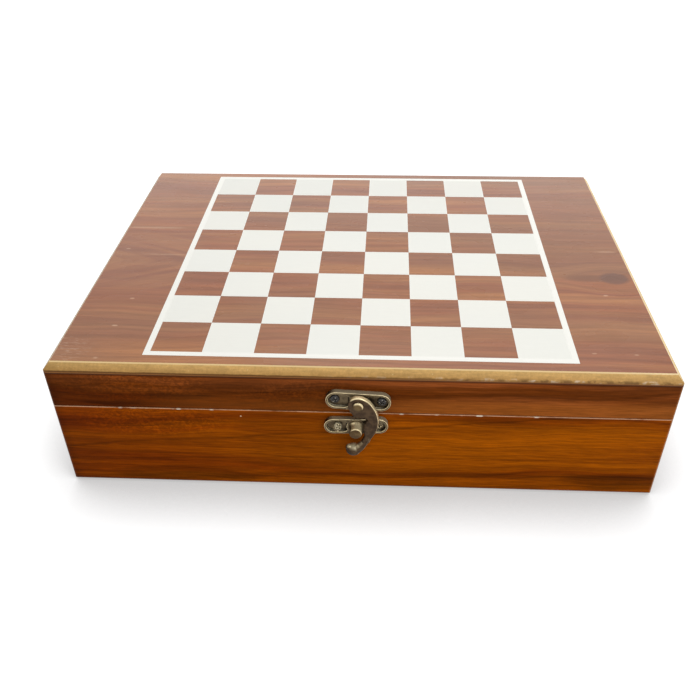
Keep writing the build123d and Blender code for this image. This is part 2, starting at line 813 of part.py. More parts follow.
with BuildPart() as queen:
    queen_neck = 0.62 * queen_height
    queen_rim = 0.9 * queen_height
    queen_crown = 0.56 * queen_radius
    turned_foot(queen_radius, 0.33 * queen_radius, queen_neck)
    collar(0.6 * queen_radius, queen_neck)
    crown(0.32 * queen_radius, queen_crown, queen_neck + 0.04 * queen_height, queen_rim)
    with PolarLocations(queen_crown, 8):
        with Locations((0, 0, queen_rim)):
            Sphere(0.26 * queen_crown, mode=Mode.SUBTRACT)
    with Locations((0, 0, queen_rim)):
        Sphere(0.72 * queen_crown)
    with Locations((0, 0, queen_height - 0.28 * queen_crown)):
        Sphere(0.28 * queen_crown)

with BuildPart() as king:
    king_neck = 0.62 * king_height
    king_rim = 0.84 * king_height
    king_crown = 0.56 * king_radius
    cross_bar = 0.16 * king_radius
    turned_foot(king_radius, 0.34 * king_radius, king_neck)
    collar(0.62 * king_radius, king_neck)
    crown(0.34 * king_radius, king_crown, king_neck + 0.04 * king_height, king_rim)
    crown(king_crown, 0.2 * king_crown, king_rim, 0.9 * king_height)
    with Locations((0, 0, king_height)):
        Box(cross_bar, cross_bar, 0.14 * king_height, align=(Align.CENTER, Align.CENTER, Align.MAX))
    with Locations((0, 0, 0.96 * king_height)):
        Box(0.5 * king_radius, cross_bar, cross_bar)

# The horse's head in side view, as shares of the knight's height above its foot.
with BuildPart() as knight:
    knight_neck = 0.26 * knight_height
    head_scale = knight_height - knight_neck
    turned_foot(knight_radius, 0.62 * knight_radius, knight_neck)
    with BuildSketch(Plane.XZ):
        with BuildLine():
            chest = Spline(
                (0.26 * head_scale, knight_neck),
                (0.22 * head_scale, knight_neck + 0.22 * head_scale),
                (0.1 * head_scale, knight_neck + 0.42 * head_scale),
            )
            muzzle = Polyline(
                chest @ 1,
                (0.3 * head_scale, knight_neck + 0.38 * head_scale),
                (0.37 * head_scale, knight_neck + 0.5 * head_scale),
                (0.16 * head_scale, knight_neck + 0.82 * head_scale),
                (0.06 * head_scale, knight_neck + head_scale),
                (-0.02 * head_scale, knight_neck + 0.88 * head_scale),
            )
            mane = Spline(
                muzzle @ 1,
                (-0.22 * head_scale, knight_neck + 0.62 * head_scale),
                (-0.26 * head_scale, knight_neck + 0.25 * head_scale),
                (-0.2 * head_scale, knight_neck),
            )
            Line(mane @ 1, chest @ 0)
        make_face()
    extrude(amount=0.3 * knight_radius, both=True)


def man_place(well_name, column, row):
    """A man's place in its well's grid, standing on the felt."""
    well_x, well_y, well_width, well_depth = wells[well_name]
    x = well_x + (column + 0.5) * well_width / men_across - well_width / 2
    y = well_y + (row + 0.5) * well_depth / men_across - well_depth / 2
    return Location((x, y, floor_z))


def save_men(man, colour, well_name, name, places):
    """Stand copies of one man in its well."""
    with BuildPart() as men:
        with Locations(*[man_place(well_name, column, row) for column, row in places]):
            add(man.part)
    save(men, f"{colour}_{name}")


pawn_places = [(column, row) for row in (0, 1) for column in range(men_across)]
for colour, well_name in (("light", "light_chess"), ("dark", "dark_chess")):
    save_men(pawn, colour, well_name, "pawns", pawn_places)
    save_men(rook, colour, well_name, "rooks", [(0, 2), (3, 2)])
    save_men(knight, colour, well_name, "knights", [(1, 2), (2, 2)])
    save_men(bishop, colour, well_name, "bishops", [(0, 3), (3, 3)])
    save_men(queen, colour, well_name, "queen", [(1, 3)])
    save_men(king, colour, well_name, "king", [(2, 3)])


# ---- Cards, dice, dominoes and draughts ------------------------------------------------------
def card_deck(well_name):
    """A wrapped pack of cards, lying flat in its well."""
    well_x, well_y = wells[well_name][:2]
    with BuildPart() as deck:
        with BuildSketch(Plane.XY.offset(floor_z)):
            with Locations((well_x, well_y)):
                RectangleRounded(card_length, card_width, card_corner)
        extrude(amount=deck_height)
    return deck


save(card_deck("front_cards"), "red_card_deck")
save(card_deck("back_cards"), "blue_card_deck")

with BuildPart() as die:
    Box(die_size, die_size, die_size, align=(Align.CENTER, Align.CENTER, Align.MIN))
    fillet(die.edges(), die_round)

# Five dice lie where they were dropped, each in its own fifth of the well's length.
dice_turns = (18, -35, 52, 8, -20)
dice_shifts = (6.0, -9.0, 4.0, -7.0, 8.0)
dice_pitch = centre_well_width / len(dice_turns)
with BuildPart() as dice:
    for index, (turn, shift) in enumerate(zip(dice_turns, dice_shifts)):
        x = centre_well_x + (index - (len(dice_turns) - 1) / 2) * dice_pitch
        with Locations(Location((x, shift, floor_z), (0, 0, turn))):
            add(die.part)
save(dice, "dice")

with BuildPart() as tile:
    Box(tile_length, tile_width, tile_thickness, align=(Align.CENTER, Align.CENTER, Align.MIN))
    fillet(tile.edges(), tile_round)

# The tiles stand in as many stacks as their well holds, filled one stack after another.
stacks_abreast = int((right_well_width + piece_gap) // (tile_length + piece_gap))
stack_rows = int((half_well_depth + piece_gap) // (tile_width + piece_gap))
tiles_per_stack = ceil(tile_count / (stacks_abreast * stack_rows))
with BuildPart() as dominoes:
    well_x, well_y = wells["dominoes"][:2]
    for index in range(tile_count):
        stack, level = divmod(index, tiles_per_stack)
        row, column = divmod(stack, stacks_abreast)
        x = well_x + (column - (stacks_abreast - 1) / 2) * (tile_length + piece_gap)
        y = well_y + ((stack_rows - 1) / 2 - row) * (tile_width + piece_gap)
        with Locations((x, y, floor_z + level * (tile_thickness + stack_gap))):
            add(tile.part)
save(dominoes, "dominoes")

with BuildPart() as disc:
    Cylinder(disc_radius, disc_thickness, align=(Align.CENTER, Align.CENTER, Align.MIN))
    fillet(disc.edges().filter_by(GeomType.CIRCLE), disc_ring_depth)
    with BuildSketch(Plane.XY.offset(disc_thickness)):
        Circle(disc_ring_radius)
    extrude(amount=-disc_ring_depth, mode=Mode.SUBTRACT)

disc_pitch = 2 * disc_radius + piece_gap
discs_across = int((right_well_width + piece_gap) // disc_pitch)
discs_per_stack = ceil(discs_a_side / discs_across)


def draughts(row):
    """The men of one colour, in a row of stacks across their well."""
    well_x, well_y = wells["draughts"][:2]
    with BuildPart() as men:
        for index in range(discs_a_side):
            column, level = divmod(index, discs_per_stack)
            place = (
                well_x + (column - (discs_across - 1) / 2) * disc_pitch,
                well_y + row * disc_pitch,
                floor_z + level * (disc_thickness + stack_gap),
            )
            with Locations(place):
                add(disc.part)
    return men


save(draughts(-1), "light_draughts")
save(draughts(1), "dark_draughts")
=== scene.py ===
from math import cos, pi, radians, sin

import bpy
from mathutils import Matrix, Vector


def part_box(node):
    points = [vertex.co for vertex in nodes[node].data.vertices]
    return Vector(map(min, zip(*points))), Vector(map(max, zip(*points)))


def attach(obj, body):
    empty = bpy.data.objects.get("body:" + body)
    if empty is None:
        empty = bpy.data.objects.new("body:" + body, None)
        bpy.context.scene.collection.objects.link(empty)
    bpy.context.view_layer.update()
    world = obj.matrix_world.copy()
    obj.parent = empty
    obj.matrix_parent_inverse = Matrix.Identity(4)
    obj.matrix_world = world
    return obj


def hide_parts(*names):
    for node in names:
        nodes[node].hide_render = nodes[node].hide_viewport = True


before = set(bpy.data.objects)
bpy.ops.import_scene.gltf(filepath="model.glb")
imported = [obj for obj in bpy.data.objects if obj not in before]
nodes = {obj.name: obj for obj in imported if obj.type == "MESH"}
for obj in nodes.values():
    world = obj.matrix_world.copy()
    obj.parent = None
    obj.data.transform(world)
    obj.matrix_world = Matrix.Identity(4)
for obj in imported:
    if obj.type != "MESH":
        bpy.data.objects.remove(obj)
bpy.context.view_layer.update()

# A games compendium box: a stained wooden case with a chess board printed on its lid, a cast
# swing hook in front, two brass hinges behind, and felt-lined wells full of games inside.
# X is the width, Y runs from the clasp to the hinges, Z is up. Everything is in metres.
MM = 0.001

case_low, case_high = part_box("base_front_rail")
lid_rail_low, lid_rail_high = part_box("lid_front_rail")
panel_low, panel_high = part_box("lid_panel")
veneer_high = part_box("lid_veneer")[1]
print_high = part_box("board_print")[1]
half_width = case_high.x
front_y = case_low.y
rim_z = case_high.z
square_size = (print_high.x - 3.0 * MM) / 4


# ---- Building a finish ---------------------------------------------------------------------------
def linear(value):
    """One channel of a screen colour, from 0 to 255, as a shader takes it."""
    if value > 10:
        return ((value / 255 + 0.055) / 1.055) ** 2.4
    return value / 255 / 12.92


def rgb(red, green, blue):
    """A colour as it reads on a screen, for a shader."""
    return (linear(red), linear(green), linear(blue), 1.0)


class Graph:
    """A node tree in the making, with short names for the nodes that it is built from."""

    def __init__(self, tree):
        self.tree = tree

    def feed(self, socket, value):
        """Link a socket to an output, or set it to a constant."""
        if isinstance(value, bpy.types.NodeSocket):
            self.tree.links.new(value, socket)
        else:
            socket.default_value = value

    def node(self, kind, **settings):
        """Add a shader node. Its settings are properties of the node."""
        node = self.tree.nodes.new("ShaderNode" + kind)
        for name, value in settings.items():
            setattr(node, name, value)
        return node

    def maths(self, operation, *values):
        node = self.node("Math", operation=operation)
        for socket, value in zip(node.inputs, values):
            self.feed(socket, value)
        return node.outputs[0]

    def plus(self, first, second):
        return self.maths("ADD", first, second)

    def minus(self, first, second):
        return self.maths("SUBTRACT", first, second)

    def times(self, first, *others):
        for other in others:
            first = self.maths("MULTIPLY", first, other)
        return first

    def over(self, first, second):
        return self.maths("DIVIDE", first, second)

    def least(self, first, second):
        return self.maths("MINIMUM", first, second)

    def most(self, first, second):
        return self.maths("MAXIMUM", first, second)

    def reach(self, value):
        """A value without its sign."""
        return self.maths("ABSOLUTE", value)

    def fade(self, value, start, end):
        """0 at start, 1 at end, and smooth between them."""
        node = self.node("MapRange", interpolation_type="SMOOTHSTEP")
        self.feed(node.inputs["Value"], value)
        node.inputs["From Min"].default_value = start
        node.inputs["From Max"].default_value = end
        return node.outputs["Result"]

    def spread(self, value, low, high):
        """Take 0..1 to low..high."""
        return self.maths("MULTIPLY_ADD", value, high - low, low)

    def mix(self, share, first, second, mode="MIX"):
        node = self.node("Mix", data_type="RGBA", blend_type=mode)
        self.feed(node.inputs["Factor"], share)
        for socket, value in zip([s for s in node.inputs if s.type == "RGBA"], (first, second)):
            self.feed(socket, value)
        return next(s for s in node.outputs if s.type == "RGBA")


class Finish(Graph):
    """A material in the making. Its patterns are laid out on the object's own coordinates."""

    def __init__(self, name):
        self.material = bpy.data.materials.new(name)
        self.material.use_nodes = True
        super().__init__(self.material.node_tree)
        self.tree.nodes.clear()
        self.place = self.node("TexCoord")
        self.x, self.y, self.z = self.split(self.place.outputs["Object"])

    def facing(self):
        """The way that the surface faces on the object, as x, y and z."""
        return self.split(self.place.outputs["Normal"])

    def split(self, vector):
        node = self.node("SeparateXYZ")
        self.tree.links.new(vector, node.inputs[0])
        return tuple(node.outputs)

    def point(self, x, y, z=0.0):
        node = self.node("CombineXYZ")
        for socket, value in zip(node.inputs, (x, y, z)):
            self.feed(socket, value)
        return node.outputs[0]

    def grid(self, *axes):
        """A place in a pattern: each axis is a value and how far it is stretched, or a constant."""
        return self.point(*[self.times(*axis) if isinstance(axis, tuple) else axis for axis in axes])

    def scaled(self, x_scale, y_scale, z_scale):
        """The place on the object, stretched along each axis."""
        return self.grid((self.x, x_scale), (self.y, y_scale), (self.z, z_scale))

    def noise(self, where, detail=3.0, roughness=0.55, distortion=0.0):
        node = self.node("TexNoise")
        self.feed(node.inputs["Vector"], where)
        node.inputs["Scale"].default_value = 1.0
        node.inputs["Detail"].default_value = detail
        node.inputs["Roughness"].default_value = roughness
        node.inputs["Distortion"].default_value = distortion
        return node.outputs["Fac"]

    def cells(self, where):
        """The distance to the middle of each cell, and the cell's own number from 0 to 1."""
        node = self.node("TexVoronoi")
        self.feed(node.inputs["Vector"], where)
        node.inputs["Scale"].default_value = 1.0
        return node.outputs["Distance"], node.outputs["Color"]

    def centred(self, value):
        """Take 0..1 to -0.5..0.5."""
        return self.minus(value, 0.5)

    def ramp(self, value, *stops):
        """A colour for each place along 0..1: (place, colour) pairs."""
        node = self.node("ValToRGB")
        self.feed(node.inputs["Fac"], value)
        elements = node.color_ramp.elements
        while len(elements) < len(stops):
            elements.new(0.5)
        for element, (place, color) in zip(elements, stops):
            element.position = place
            element.color = color
        return node.outputs["Color"]

    def shade(self, color, amount):
        """Multiply a colour by a number that varies."""
        return self.mix(1.0, color, self.point(amount, amount, amount), "MULTIPLY")

    def vary(self, color, value, ends, shades):
        """Shade a colour from one strength to another as a value goes from end to end."""
        return self.shade(color, self.spread(self.fade(value, *ends), *shades))

    def bump(self, height, distance, strength):
        node = self.node("Bump")
        self.feed(node.inputs["Height"], height)
        node.inputs["Distance"].default_value = distance
        node.inputs["Strength"].default_value = strength
        return node.outputs["Normal"]

    def surface(self, color, roughness, normal=None, **sockets):
        """The last node: a principled surface. Socket names are given with _ for a space."""
        node = self.node("BsdfPrincipled")
        self.feed(node.inputs["Base Color"], color)
        self.feed(node.inputs["Roughness"], roughness)
        if normal is not None:
            self.feed(node.inputs["Normal"], normal)
        for name, value in sockets.items():
            self.feed(node.inputs[name.replace("_", " ")], value)
        end = self.node("OutputMaterial")
        self.tree.links.new(node.outputs[0], end.inputs["Surface"])
        return self.material


# ---- Wood ----------------------------------------------------------------------------------------
def oval(f, first, second, middle, size):
    """1 in the middle of an oval patch, and 0 outside it. Its place and size are in millimetres."""
    across = f.over(f.minus(first, middle[0] * MM), size[0] * MM)
    up = f.over(f.minus(second, middle[1] * MM), size[1] * MM)
    return f.fade(f.plus(f.times(across, across), f.times(up, up)), 1.0, 0.15)


def growth_line(f, run, wander, height, rise, width):
    """1 on a dark growth line that climbs along a rail, and 0 away from it."""
    level = f.plus(f.maths("MULTIPLY_ADD", run, rise, height), wander)
    return f.fade(f.reach(f.minus(f.z, level)), width, 0.1 * width)


class RailFigure:
    """How one rail's wood is marked, in millimetres.

    Each growth line is its height at the middle, its rise, its width and its strength. Each
    shade is a darker patch, or a paler one where its strength is negative: its place along
    and up, its reach along and up, and its strength. Each curl is a place along and up. The
    wood turns paler along the rail from one place to another, in metres.
    """

    def __init__(self, seed, lines, shades=(), curls=(), pale_from=-0.17, pale_to=0.05):
        self.seed = seed
        self.lines = lines
        self.shades = shades
        self.curls = curls
        self.pale_from = pale_from
        self.pale_to = pale_to


class RailGrain:
    """The parts of a rail's grain that its finish draws on."""

    def __init__(self, color, length, run, depth, fibres):
        self.color = color
        self.length = length
        self.run = run
        self.depth = depth
        self.fibres = fibres


def rail_grain(f, along, tones, figure):
    """Stained softwood, its grain running along one axis of the case."""
    length, depth = (f.x, f.y) if along == "X" else (f.y, f.x)
    run = f.plus(length, figure.seed)
    slow = f.noise(f.grid((run, 11), (f.z, 22), (depth, 22)), detail=2)
    wander = f.times(f.centred(slow), 16 * MM)
    ring = f.plus(f.plus(f.z, wander), f.times(depth, 0.35))
    broad = f.noise(f.grid((run, 4), (ring, 70), figure.seed), detail=3, roughness=0.6)
    trend = f.fade(length, figure.pale_from, figure.pale_to)
    tone = f.plus(f.times(f.fade(broad, 0.30, 0.70), 0.62), f.times(trend, 0.38))
    color = f.ramp(tone, (0.0, tones[0]), (0.45, tones[1]), (1.0, tones[2]))
    streaks = f.noise(f.grid((run, 7), (ring, 330), figure.seed), detail=3, roughness=0.6)
    color = f.vary(color, streaks, (0.36, 0.60), (0.82, 1.08))
    fine = f.noise(f.grid((run, 22), (ring, 820), figure.seed), detail=2, roughness=0.6)
    color = f.vary(color, fine, (0.36, 0.62), (0.88, 1.09))
    fibres = f.noise(f.grid((run, 95), (f.z, 1700), (depth, 1700)), detail=3, roughness=0.7)
    color = f.vary(color, fibres, (0.32, 0.68), (0.80, 1.18))
    ragged = f.plus(f.times(f.centred(fibres), 2.2 * MM), f.times(wander, 0.55))
    for height, rise, width, strength in figure.lines:
        line = growth_line(f, length, ragged, height * MM, rise, width * MM)
        color = f.shade(color, f.spread(line, 1.0, 1.0 - strength))
    for middle, height, reach, rise_reach, strength in figure.shades:
        patch = oval(f, length, f.plus(f.z, wander), (middle, height), (reach, rise_reach))
        color = f.shade(color, f.spread(patch, 1.0, 1.0 - strength))
    speckle = f.noise(f.grid((run, 330), (f.z, 430), (depth, 430)), detail=2, distortion=1.6)
    for place in figure.curls:
        patch = oval(f, length, f.z, place, CURL_SIZE)
        comma = f.times(f.fade(speckle, 0.50, 0.60), patch)
        color = f.shade(color, f.spread(comma, 1.0, 1.35))
        between = f.times(f.fade(speckle, 0.46, 0.38), patch)
        color = f.shade(color, f.spread(between, 1.0, 0.86))
    from_fleck, _ = f.cells(f.grid((run, 180), (f.z, 1300), (depth, 1300)))
    fleck = f.times(f.fade(from_fleck, 0.20, 0.06), f.fade(slow, 0.38, 0.60))
    color = f.shade(color, f.spread(fleck, 1.0, 0.70))
    return RailGrain(color, length, run, depth, fibres)


def edge_darkening_and_highlight(f, color, length, half):
    """Darker towards the vertical corners, more so on the left, and along the foot, with a
    painted highlight on the corners' arrises, strongest on the right.
    """
    from_end = f.minus(half, f.reach(length))
    to_left = f.fade(length, 0.02, -0.10)
    corner = f.times(f.fade(from_end, 6.0 * MM, 0.5 * MM), f.spread(to_left, 0.15, 0.75))
    foot = f.fade(f.z, 3.5 * MM, 0.0)
    color = f.shade(color, f.spread(f.most(corner, foot), 1.0, 0.62))
    # Painted highlight: a pale line on the corners' arrises, strongest on the right.
    arris = f.times(f.fade(from_end, 0.8 * MM, 0.2 * MM), f.spread(to_left, 0.55, 0.15))
    return f.mix(arris, color, rgb(196, 136, 80))


def chips(f, color, where, share, size, pale):
    """Small round chips in the lacquer, in some of the pattern's cells.

    share is what stirs a cell's number and what the stirred number has to pass, size is where
    a chip starts and where it is full, and pale is its strength and its colour.
    """
    from_chip, number = f.cells(where)
    rare = f.fade(f.maths("FRACT", f.times(number, share[0])), share[1], share[1] + 0.02)
    return f.mix(f.times(f.fade(from_chip, *size), rare, pale[0]), color, pale[1])


BASE_TONES = rgb(102, 34, 0), rgb(133, 58, 0), rgb(162, 82, 0)
LID_TONES = rgb(83, 31, 0), rgb(105, 49, 8), rgb(154, 82, 38)
LACQUER_GLOSS = 0.02
CURL_SIZE = (46, 12)
CHIP_CELLS = 38


def half_length(along):
    return half_width if along == "X" else -front_y


def lacquered(f, grain, color, roughest):
    """The rails' satin lacquer over their grain."""
    shine = f.spread(f.noise(f.scaled(60, 60, 60), detail=2), 0.34, roughest)
    normal = f.bump(grain.fibres, 0.05 * MM, 0.35)
    return f.surface(color, shine, normal, Specular_IOR_Level=LACQUER_GLOSS)


def base_rail_finish(name, along, figure):
    """Amber-brown rails, their top arris rubbed through to pale wood, with small bright chips
    and a painted highlight along the foot.
    """
    f = Finish(name)
    grain = rail_grain(f, along, BASE_TONES, figure)
    color = edge_darkening_and_highlight(f, grain.color, grain.length, half_length(along))
    # Painted highlight: a pale line along the rounded foot.
    foot_highlight = f.times(f.fade(f.z, 0.3 * MM, 0.8 * MM), f.fade(f.z, 1.3 * MM, 0.9 * MM))
    color = f.mix(f.times(foot_highlight, 0.30), color, rgb(190, 130, 66))
    where = f.grid((grain.run, CHIP_CELLS), (f.z, CHIP_CELLS), figure.seed)
    color = chips(f, color, where, (7.0, 0.70), (0.020, 0.008), (1.0, rgb(240, 205, 165)))
    broken = f.noise(f.grid((grain.run, 90), (f.z, 400), figure.seed), detail=3, roughness=0.7)
    from_chip, number = f.cells(f.grid((grain.run, 210), figure.seed, 0.0))
    chip = f.times(f.fade(from_chip, 0.44, 0.26), f.fade(number, 0.46, 0.52))
    half_depth = -front_y if along == "X" else half_width
    outer = f.fade(f.minus(half_depth, f.reach(grain.depth)), 0.60 * MM, 0.35 * MM)
    worn = f.spread(f.fade(broken, 0.30, 0.56), 0.25, 1.0)
    line = f.times(f.fade(f.z, rim_z - 0.30 * MM, rim_z - 0.12 * MM), worn)
    color = f.mix(f.times(line, outer, 0.9), color, rgb(238, 186, 148))
    chip = f.times(f.fade(f.z, rim_z - 0.62 * MM, rim_z - 0.34 * MM), chip, outer)
    color = f.mix(f.times(chip, 0.95), color, rgb(255, 240, 218))
    return lacquered(f, grain, color, 0.48)


def lid_rail_finish(name, along, figure):
    """Dark red-brown rails, paler along their foot to the right, dark under the panel."""
    f = Finish(name)
    grain = rail_grain(f, along, LID_TONES, figure)
    right = f.times(f.fade(grain.length, 0.0, 0.05), 0.55)
    middle = f.times(f.fade(grain.length, -0.115, -0.07), 0.30)
    foot = f.fade(f.z, lid_rail_high.z - 8 * MM, lid_rail_low.z + 3 * MM)
    lower = f.times(foot, f.plus(right, middle))
    color = f.mix(f.least(lower, 0.6), grain.color, rgb(162, 90, 30))
    crisp = f.times(lower, f.centred(f.fade(grain.fibres, 0.32, 0.68)))
    color = f.shade(color, f.spread(crisp, 1.0, 1.36))
    color = edge_darkening_and_highlight(f, color, grain.length, half_length(along))
    where = f.grid((grain.run, CHIP_CELLS), (f.z, CHIP_CELLS), figure.seed + 5)
    color = chips(f, color, where, (7.0, 0.70), (0.020, 0.008), (1.0, rgb(214, 160, 128)))
    color = f.vary(color, f.z, (lid_rail_high.z - 0.8 * MM, lid_rail_high.z - 0.1 * MM), (1.0, 0.5))
    return lacquered(f, grain, color, 0.46)


BASE_FIGURES = {
    "front": RailFigure(
        0.31,
        (
            (39.0, 0.095, 1.1, 0.34), (20.5, 0.02, 0.9, 0.22), (8.5, 0.035, 3.2, 0.30),
            (45.0, 0.03, 0.9, 0.2),
        ),
        (
            (-88, 5, 44, 6, 0.30), (128, 6, 34, 7, 0.42), (-144, 24, 26, 26, 0.18),
            (28, 44, 28, 8, -0.16), (-26, 32, 36, 26, 0.16),
        ),
        ((-98, 42),),
    ),
    "back": RailFigure(
        1.73,
        (
            (14.0, -0.06, 1.2, 0.32), (33.0, 0.04, 0.9, 0.24), (41.0, 0.02, 2.4, 0.22),
            (24.0, 0.03, 0.7, 0.2),
        ),
        ((70, 10, 60, 8, 0.25),), ((60, 30),),
    ),
    "left": RailFigure(
        2.19,
        ((28.0, 0.08, 1.1, 0.32), (12.0, 0.03, 2.6, 0.26), (40.0, -0.03, 0.8, 0.24)),
        ((-60, 34, 40, 7, 0.25),), ((30, 40),), -0.12, 0.16,
    ),
    "right": RailFigure(
        3.57,
        ((30.0, -0.07, 1.2, 0.32), (18.0, 0.02, 0.9, 0.24), (8.0, 0.05, 2.6, 0.26)),
        ((50, 14, 46, 7, 0.22),), ((-40, 38),), -0.22, 0.08,
    ),
}
LID_FIGURES = {
    "front": RailFigure(
        5.21,
        ((58.0, 0.02, 0.7, 0.16), (63.5, -0.01, 0.8, 0.12)),
        (
            (-42, 64.5, 48, 5.0, 0.34), (-84, 60, 20, 2.4, 0.34), (-114, 56, 18, 2.4, 0.20),
            (-136, 66, 26, 5, 0.26), (-20, 54, 20, 5, 0.24), (136, 54, 22, 6, 0.24),
            (55, 66, 50, 5, -0.16),
        ),
        ((-104, 63), (-20, 58)), -0.10, 0.07,
    ),
    "back": RailFigure(
        6.43,
        ((58.0, 0.04, 1.0, 0.26), (65.0, -0.02, 1.2, 0.24)),
        ((-30, 62, 60, 5, 0.25),), ((80, 60),),
    ),
    "left": RailFigure(
        7.37,
        ((57.0, 0.05, 1.0, 0.26), (64.0, 0.02, 1.2, 0.24)),
        ((20, 60, 50, 5, 0.25),),
    ),
    "right": RailFigure(
        8.11,
        ((60.0, -0.04, 1.0, 0.26), (54.0, 0.01, 1.0, 0.22)),
        ((-50, 63, 40, 4, 0.25),),
    ),
}
# Where the veneer's marks lie on the lid, in millimetres.
KNOT, KNOT_SIZE = (132.2, -25.0), (7.2, 5.4)
KNOT_TAIL, KNOT_TAIL_SIZE = (119.2, -25.0), (17, 4.4)
BEND_SIZE = (34, 20)
CATHEDRAL, CATHEDRAL_TIP = (-106.5, -13.0), 2.5
WORN_CORNER, WORN_CORNER_SIZE = (-138, -96), (16, 12)
# Pale scuffs in the lacquer: place across and along, reach across and along, and strength.
SCUFFS = (
    (133.7, 3.8, 7.0, 0.6, 0.5), (124.0, -42.0, 1.5, 0.8, 0.5), (-119.8, -76.6, 1.8, 0.8, 0.5),
    (-134.7, 0.1, 1.6, 0.8, 0.45), (-126.0, 26.0, 22.0, 1.3, 0.28), (-112.0, -6.0, 16.0, 0.8, 0.2),
    (108.0, -92.0, 1.5, 0.6, 0.4), (-118.0, -52.0, 1.5, 0.8, 0.45), (127.0, -92.5, 1.4, 0.6, 0.4),
)


def cathedral(f, color, wander):
    """Nested points of grain that open to the left."""
    from_point_y = f.minus(f.y, CATHEDRAL[1] * MM)
    arm = f.maths("SQRT", f.plus(f.times(from_point_y, from_point_y), (CATHEDRAL_TIP * MM) ** 2))
    ridge = f.plus(arm, f.times(f.minus(f.x, CATHEDRAL[0] * MM), 0.42))
    ridge = f.plus(ridge, f.times(wander, 0.014))
    flame = f.noise(f.grid((ridge, 120), (f.x, 6), 7.0), detail=3, roughness=0.6)
    on_flame = f.times(f.fade(f.x, -0.088, -0.104), f.fade(arm, 38 * MM, 22 * MM))
    flame_color = f.ramp(
        f.fade(flame, 0.30, 0.70),
        (0.0, rgb(128, 82, 66)),
        (0.5, rgb(152, 100, 74)),
        (1.0, rgb(174, 122, 84)),
    )
    return f.mix(f.times(on_flame, 0.55), color, flame_color)


def knot(f, color, streaks, ragged):
    """A greyish heart with a dark outline and a tail to the left."""
    core = f.plus(
        f.maths("POWER", f.over(f.minus(f.x, KNOT[0] * MM), KNOT_SIZE[0] * MM), 2.0),
        f.maths("POWER", f.over(f.minus(f.y, KNOT[1] * MM), KNOT_SIZE[1] * MM), 2.0),
    )
    core = f.plus(core, ragged)
    tail = oval(f, f.plus(f.x, f.times(ragged, 4 * MM)), f.y, KNOT_TAIL, KNOT_TAIL_SIZE)
    color = f.mix(f.times(tail, 0.62), color, rgb(112, 74, 52))
    heart = f.vary(rgb(112, 76, 60), streaks, (0.36, 0.66), (0.84, 1.14))
    return f.mix(f.times(f.fade(core, 1.6, 0.6), 0.85), color, heart)


def scuffs(f, color, ragged):
    """Small pale chips and scuffs, and a scratched corner."""
    where = f.grid((f.x, 30), (f.y, 42))
    color = chips(f, color, where, (5.0, 0.66), (0.05, 0.02), (0.5, rgb(214, 174, 142)))
    for across, along, reach, width, strength in SCUFFS:
        jagged = f.plus(f.y, f.times(ragged, MM))
        patch = oval(f, f.x, jagged, (across, along), (reach, width))
        color = f.mix(f.times(patch, strength), color, rgb(222, 184, 154))
    slant = f.plus(f.x, f.times(f.y, 0.8))
    scratches = f.noise(f.grid((slant, 240), (f.y, 900), 3.0), detail=4, roughness=0.7)
    worn = oval(f, f.x, f.y, WORN_CORNER, WORN_CORNER_SIZE)
    return f.mix(f.times(worn, f.fade(scratches, 0.48, 0.66), 0.35), color, rgb(206, 172, 146))


def veneer_finish():
    """Rosewood-toned veneer, its grain running across the board, under satin lacquer."""
    f = Finish("lid_veneer_wood")
    wander = f.noise(f.grid((f.x, 7), (f.y, 14)), detail=2)
    near_knot = oval(f, f.x, f.y, KNOT, BEND_SIZE)
    bend = f.times(f.minus(f.y, KNOT[1] * MM), near_knot, 0.7)
    grain_y = f.minus(f.plus(f.y, f.times(wander, 0.022)), bend)
    broad = f.noise(f.grid((f.x, 3.2), (grain_y, 62)), detail=3, roughness=0.6)
    streaks = f.noise(f.grid((f.x, 6), (grain_y, 330), 4.0), detail=4, roughness=0.62)
    fibres = f.noise(f.grid((f.x, 70), (f.y, 1500), 1.0), detail=3, roughness=0.7)
    color = f.ramp(
        f.fade(broad, 0.28, 0.72),
        (0.0, rgb(144, 88, 61)),
        (0.35, rgb(159, 98, 64)),
        (0.7, rgb(166, 109, 70)),
        (1.0, rgb(180, 120, 75)),
    )
    hue = f.noise(f.grid((f.x, 5), (f.y, 18), 9.0), detail=2)
    color = f.mix(f.times(f.fade(hue, 0.42, 0.64), 0.5), color, rgb(140, 98, 72))
    color = f.vary(color, streaks, (0.36, 0.66), (0.86, 1.09))
    color = f.vary(color, fibres, (0.3, 0.7), (0.91, 1.08))
    color = cathedral(f, color, wander)
    ragged = f.times(f.centred(f.noise(f.scaled(420, 420, 0), detail=2)), 0.5)
    color = knot(f, color, streaks, ragged)
    color = scuffs(f, color, ragged)
    # The veneer's pale core shows on its sloping edges.
    edge = f.fade(f.z, veneer_high.z - 0.04 * MM, veneer_high.z - 0.10 * MM)
    color = f.mix(edge, color, rgb(240, 208, 150))
    smear = f.noise(f.scaled(24, 40, 0), detail=3, roughness=0.65)
    return f.surface(
        color,
        f.spread(f.fade(smear, 0.35, 0.65), 0.22, 0.34),
        f.bump(f.plus(f.times(fibres, 0.5), streaks), 0.04 * MM, 0.30),
        Specular_IOR_Level=0.22,
        Coat_Weight=0.25,
        Coat_Roughness=0.16,
        Coat_IOR=1.4,
    )


